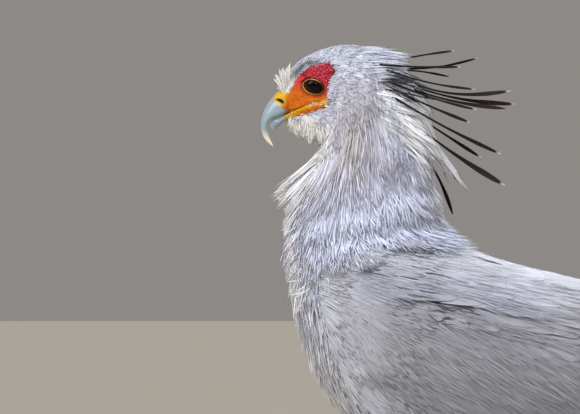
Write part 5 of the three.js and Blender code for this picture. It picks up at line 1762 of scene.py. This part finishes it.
# %% [markdown]
# The bird stands on a plain pale floor under soft studio light. The camera has a long lens and looks
# level across the bird, and frames the same part of it as the photograph.

# %% Floor, light and camera
PIXEL = 0.95  # millimetres on the bird for one pixel of the picture
PICTURE_WIDE, PICTURE_TALL = 580, 414
EYE_PIXEL = (315, 86)
LENS, SENSOR, SIGHT = 400, 36, 200
FLOOR_RADIUS, FLOOR_PALE, FLOOR_SHADE = 40, colour(214, 206, 193), colour(206, 198, 185)


def floor_finish():
    look = Finish("floor_paint", Roughness=0.85, Specular_IOR_Level=0.2)
    return look.finish(look.mix(FLOOR_PALE, FLOOR_SHADE, look.noise(0.004, 3.0)))


alone()
bpy.ops.mesh.primitive_circle_add(vertices=96, radius=FLOOR_RADIUS, fill_type="NGON", location=(0, 0, 0))
floor = bpy.context.object
floor.name = "floor"
floor.data.materials.append(floor_finish())

aim = to_frame(((PICTURE_WIDE / 2 - EYE_PIXEL[0]) * PIXEL, 0, (EYE_PIXEL[1] - PICTURE_TALL / 2) * PIXEL))
distance = PICTURE_WIDE * PIXEL * MM * LENS / SENSOR
bpy.ops.object.camera_add(location=(aim[0], -distance, aim[2]), rotation=(math.pi / 2, 0, 0))
camera = bpy.context.object
camera.data.lens, camera.data.sensor_width = LENS, SENSOR
camera.data.clip_end = SIGHT
bpy.context.scene.camera = camera
print("the camera stands", round(distance, 2), "metres away")

# %% [markdown]
# Three soft lamps light the bird from the front, from behind and from above its rear, and a broad soft
# sun lights the bird and the floor evenly. The plain view shows each colour as it was chosen.

# %% Lamps, sun and sky
COOL, COOLER, SKY = (0.98, 0.99, 1.0), (0.92, 0.96, 1.0), (0.94, 0.97, 1.0)
STUDIO, STUDIO_STRENGTH = (0.315, 0.295, 0.28, 1), 0.85


def lamp(name, place, size, power, tone):
    """A soft square lamp that faces the bird's shoulder."""
    alone()
    way = np.array([aim[0] + 0.1, 0, 0.7]) - np.array(place)
    turn = (math.acos(-way[2] / np.linalg.norm(way)), 0, math.atan2(way[1], way[0]) - math.pi / 2)
    bpy.ops.object.light_add(type="AREA", location=place, rotation=turn)
    made = bpy.context.object
    made.name = name
    made.data.size, made.data.energy, made.data.color = size, power, tone


lamp("key_lamp", (-2.7, -2.5, 2.7), 1.6, 58, COOL)
lamp("rim_lamp", (1.2, 2.4, 3.2), 1.4, 84, COOL)
lamp("fill_lamp", (1.6, -3.2, 3.0), 2.0, 44, COOLER)

alone()
bpy.ops.object.light_add(type="SUN", location=(0, 0, 5), rotation=(math.radians(42), math.radians(-22), 0))
sun = bpy.context.object
sun.name = "soft_sun"
sun.data.energy, sun.data.angle, sun.data.color = 1.8, math.radians(40), SKY
bpy.context.scene.view_settings.view_transform = "Standard"
world = bpy.data.worlds.new("studio")
bpy.context.scene.world = world
world.use_nodes = True
background = world.node_tree.nodes["Background"]
background.inputs[0].default_value = STUDIO
background.inputs[1].default_value = STUDIO_STRENGTH
print("the bird is lit by three lamps and a sun")
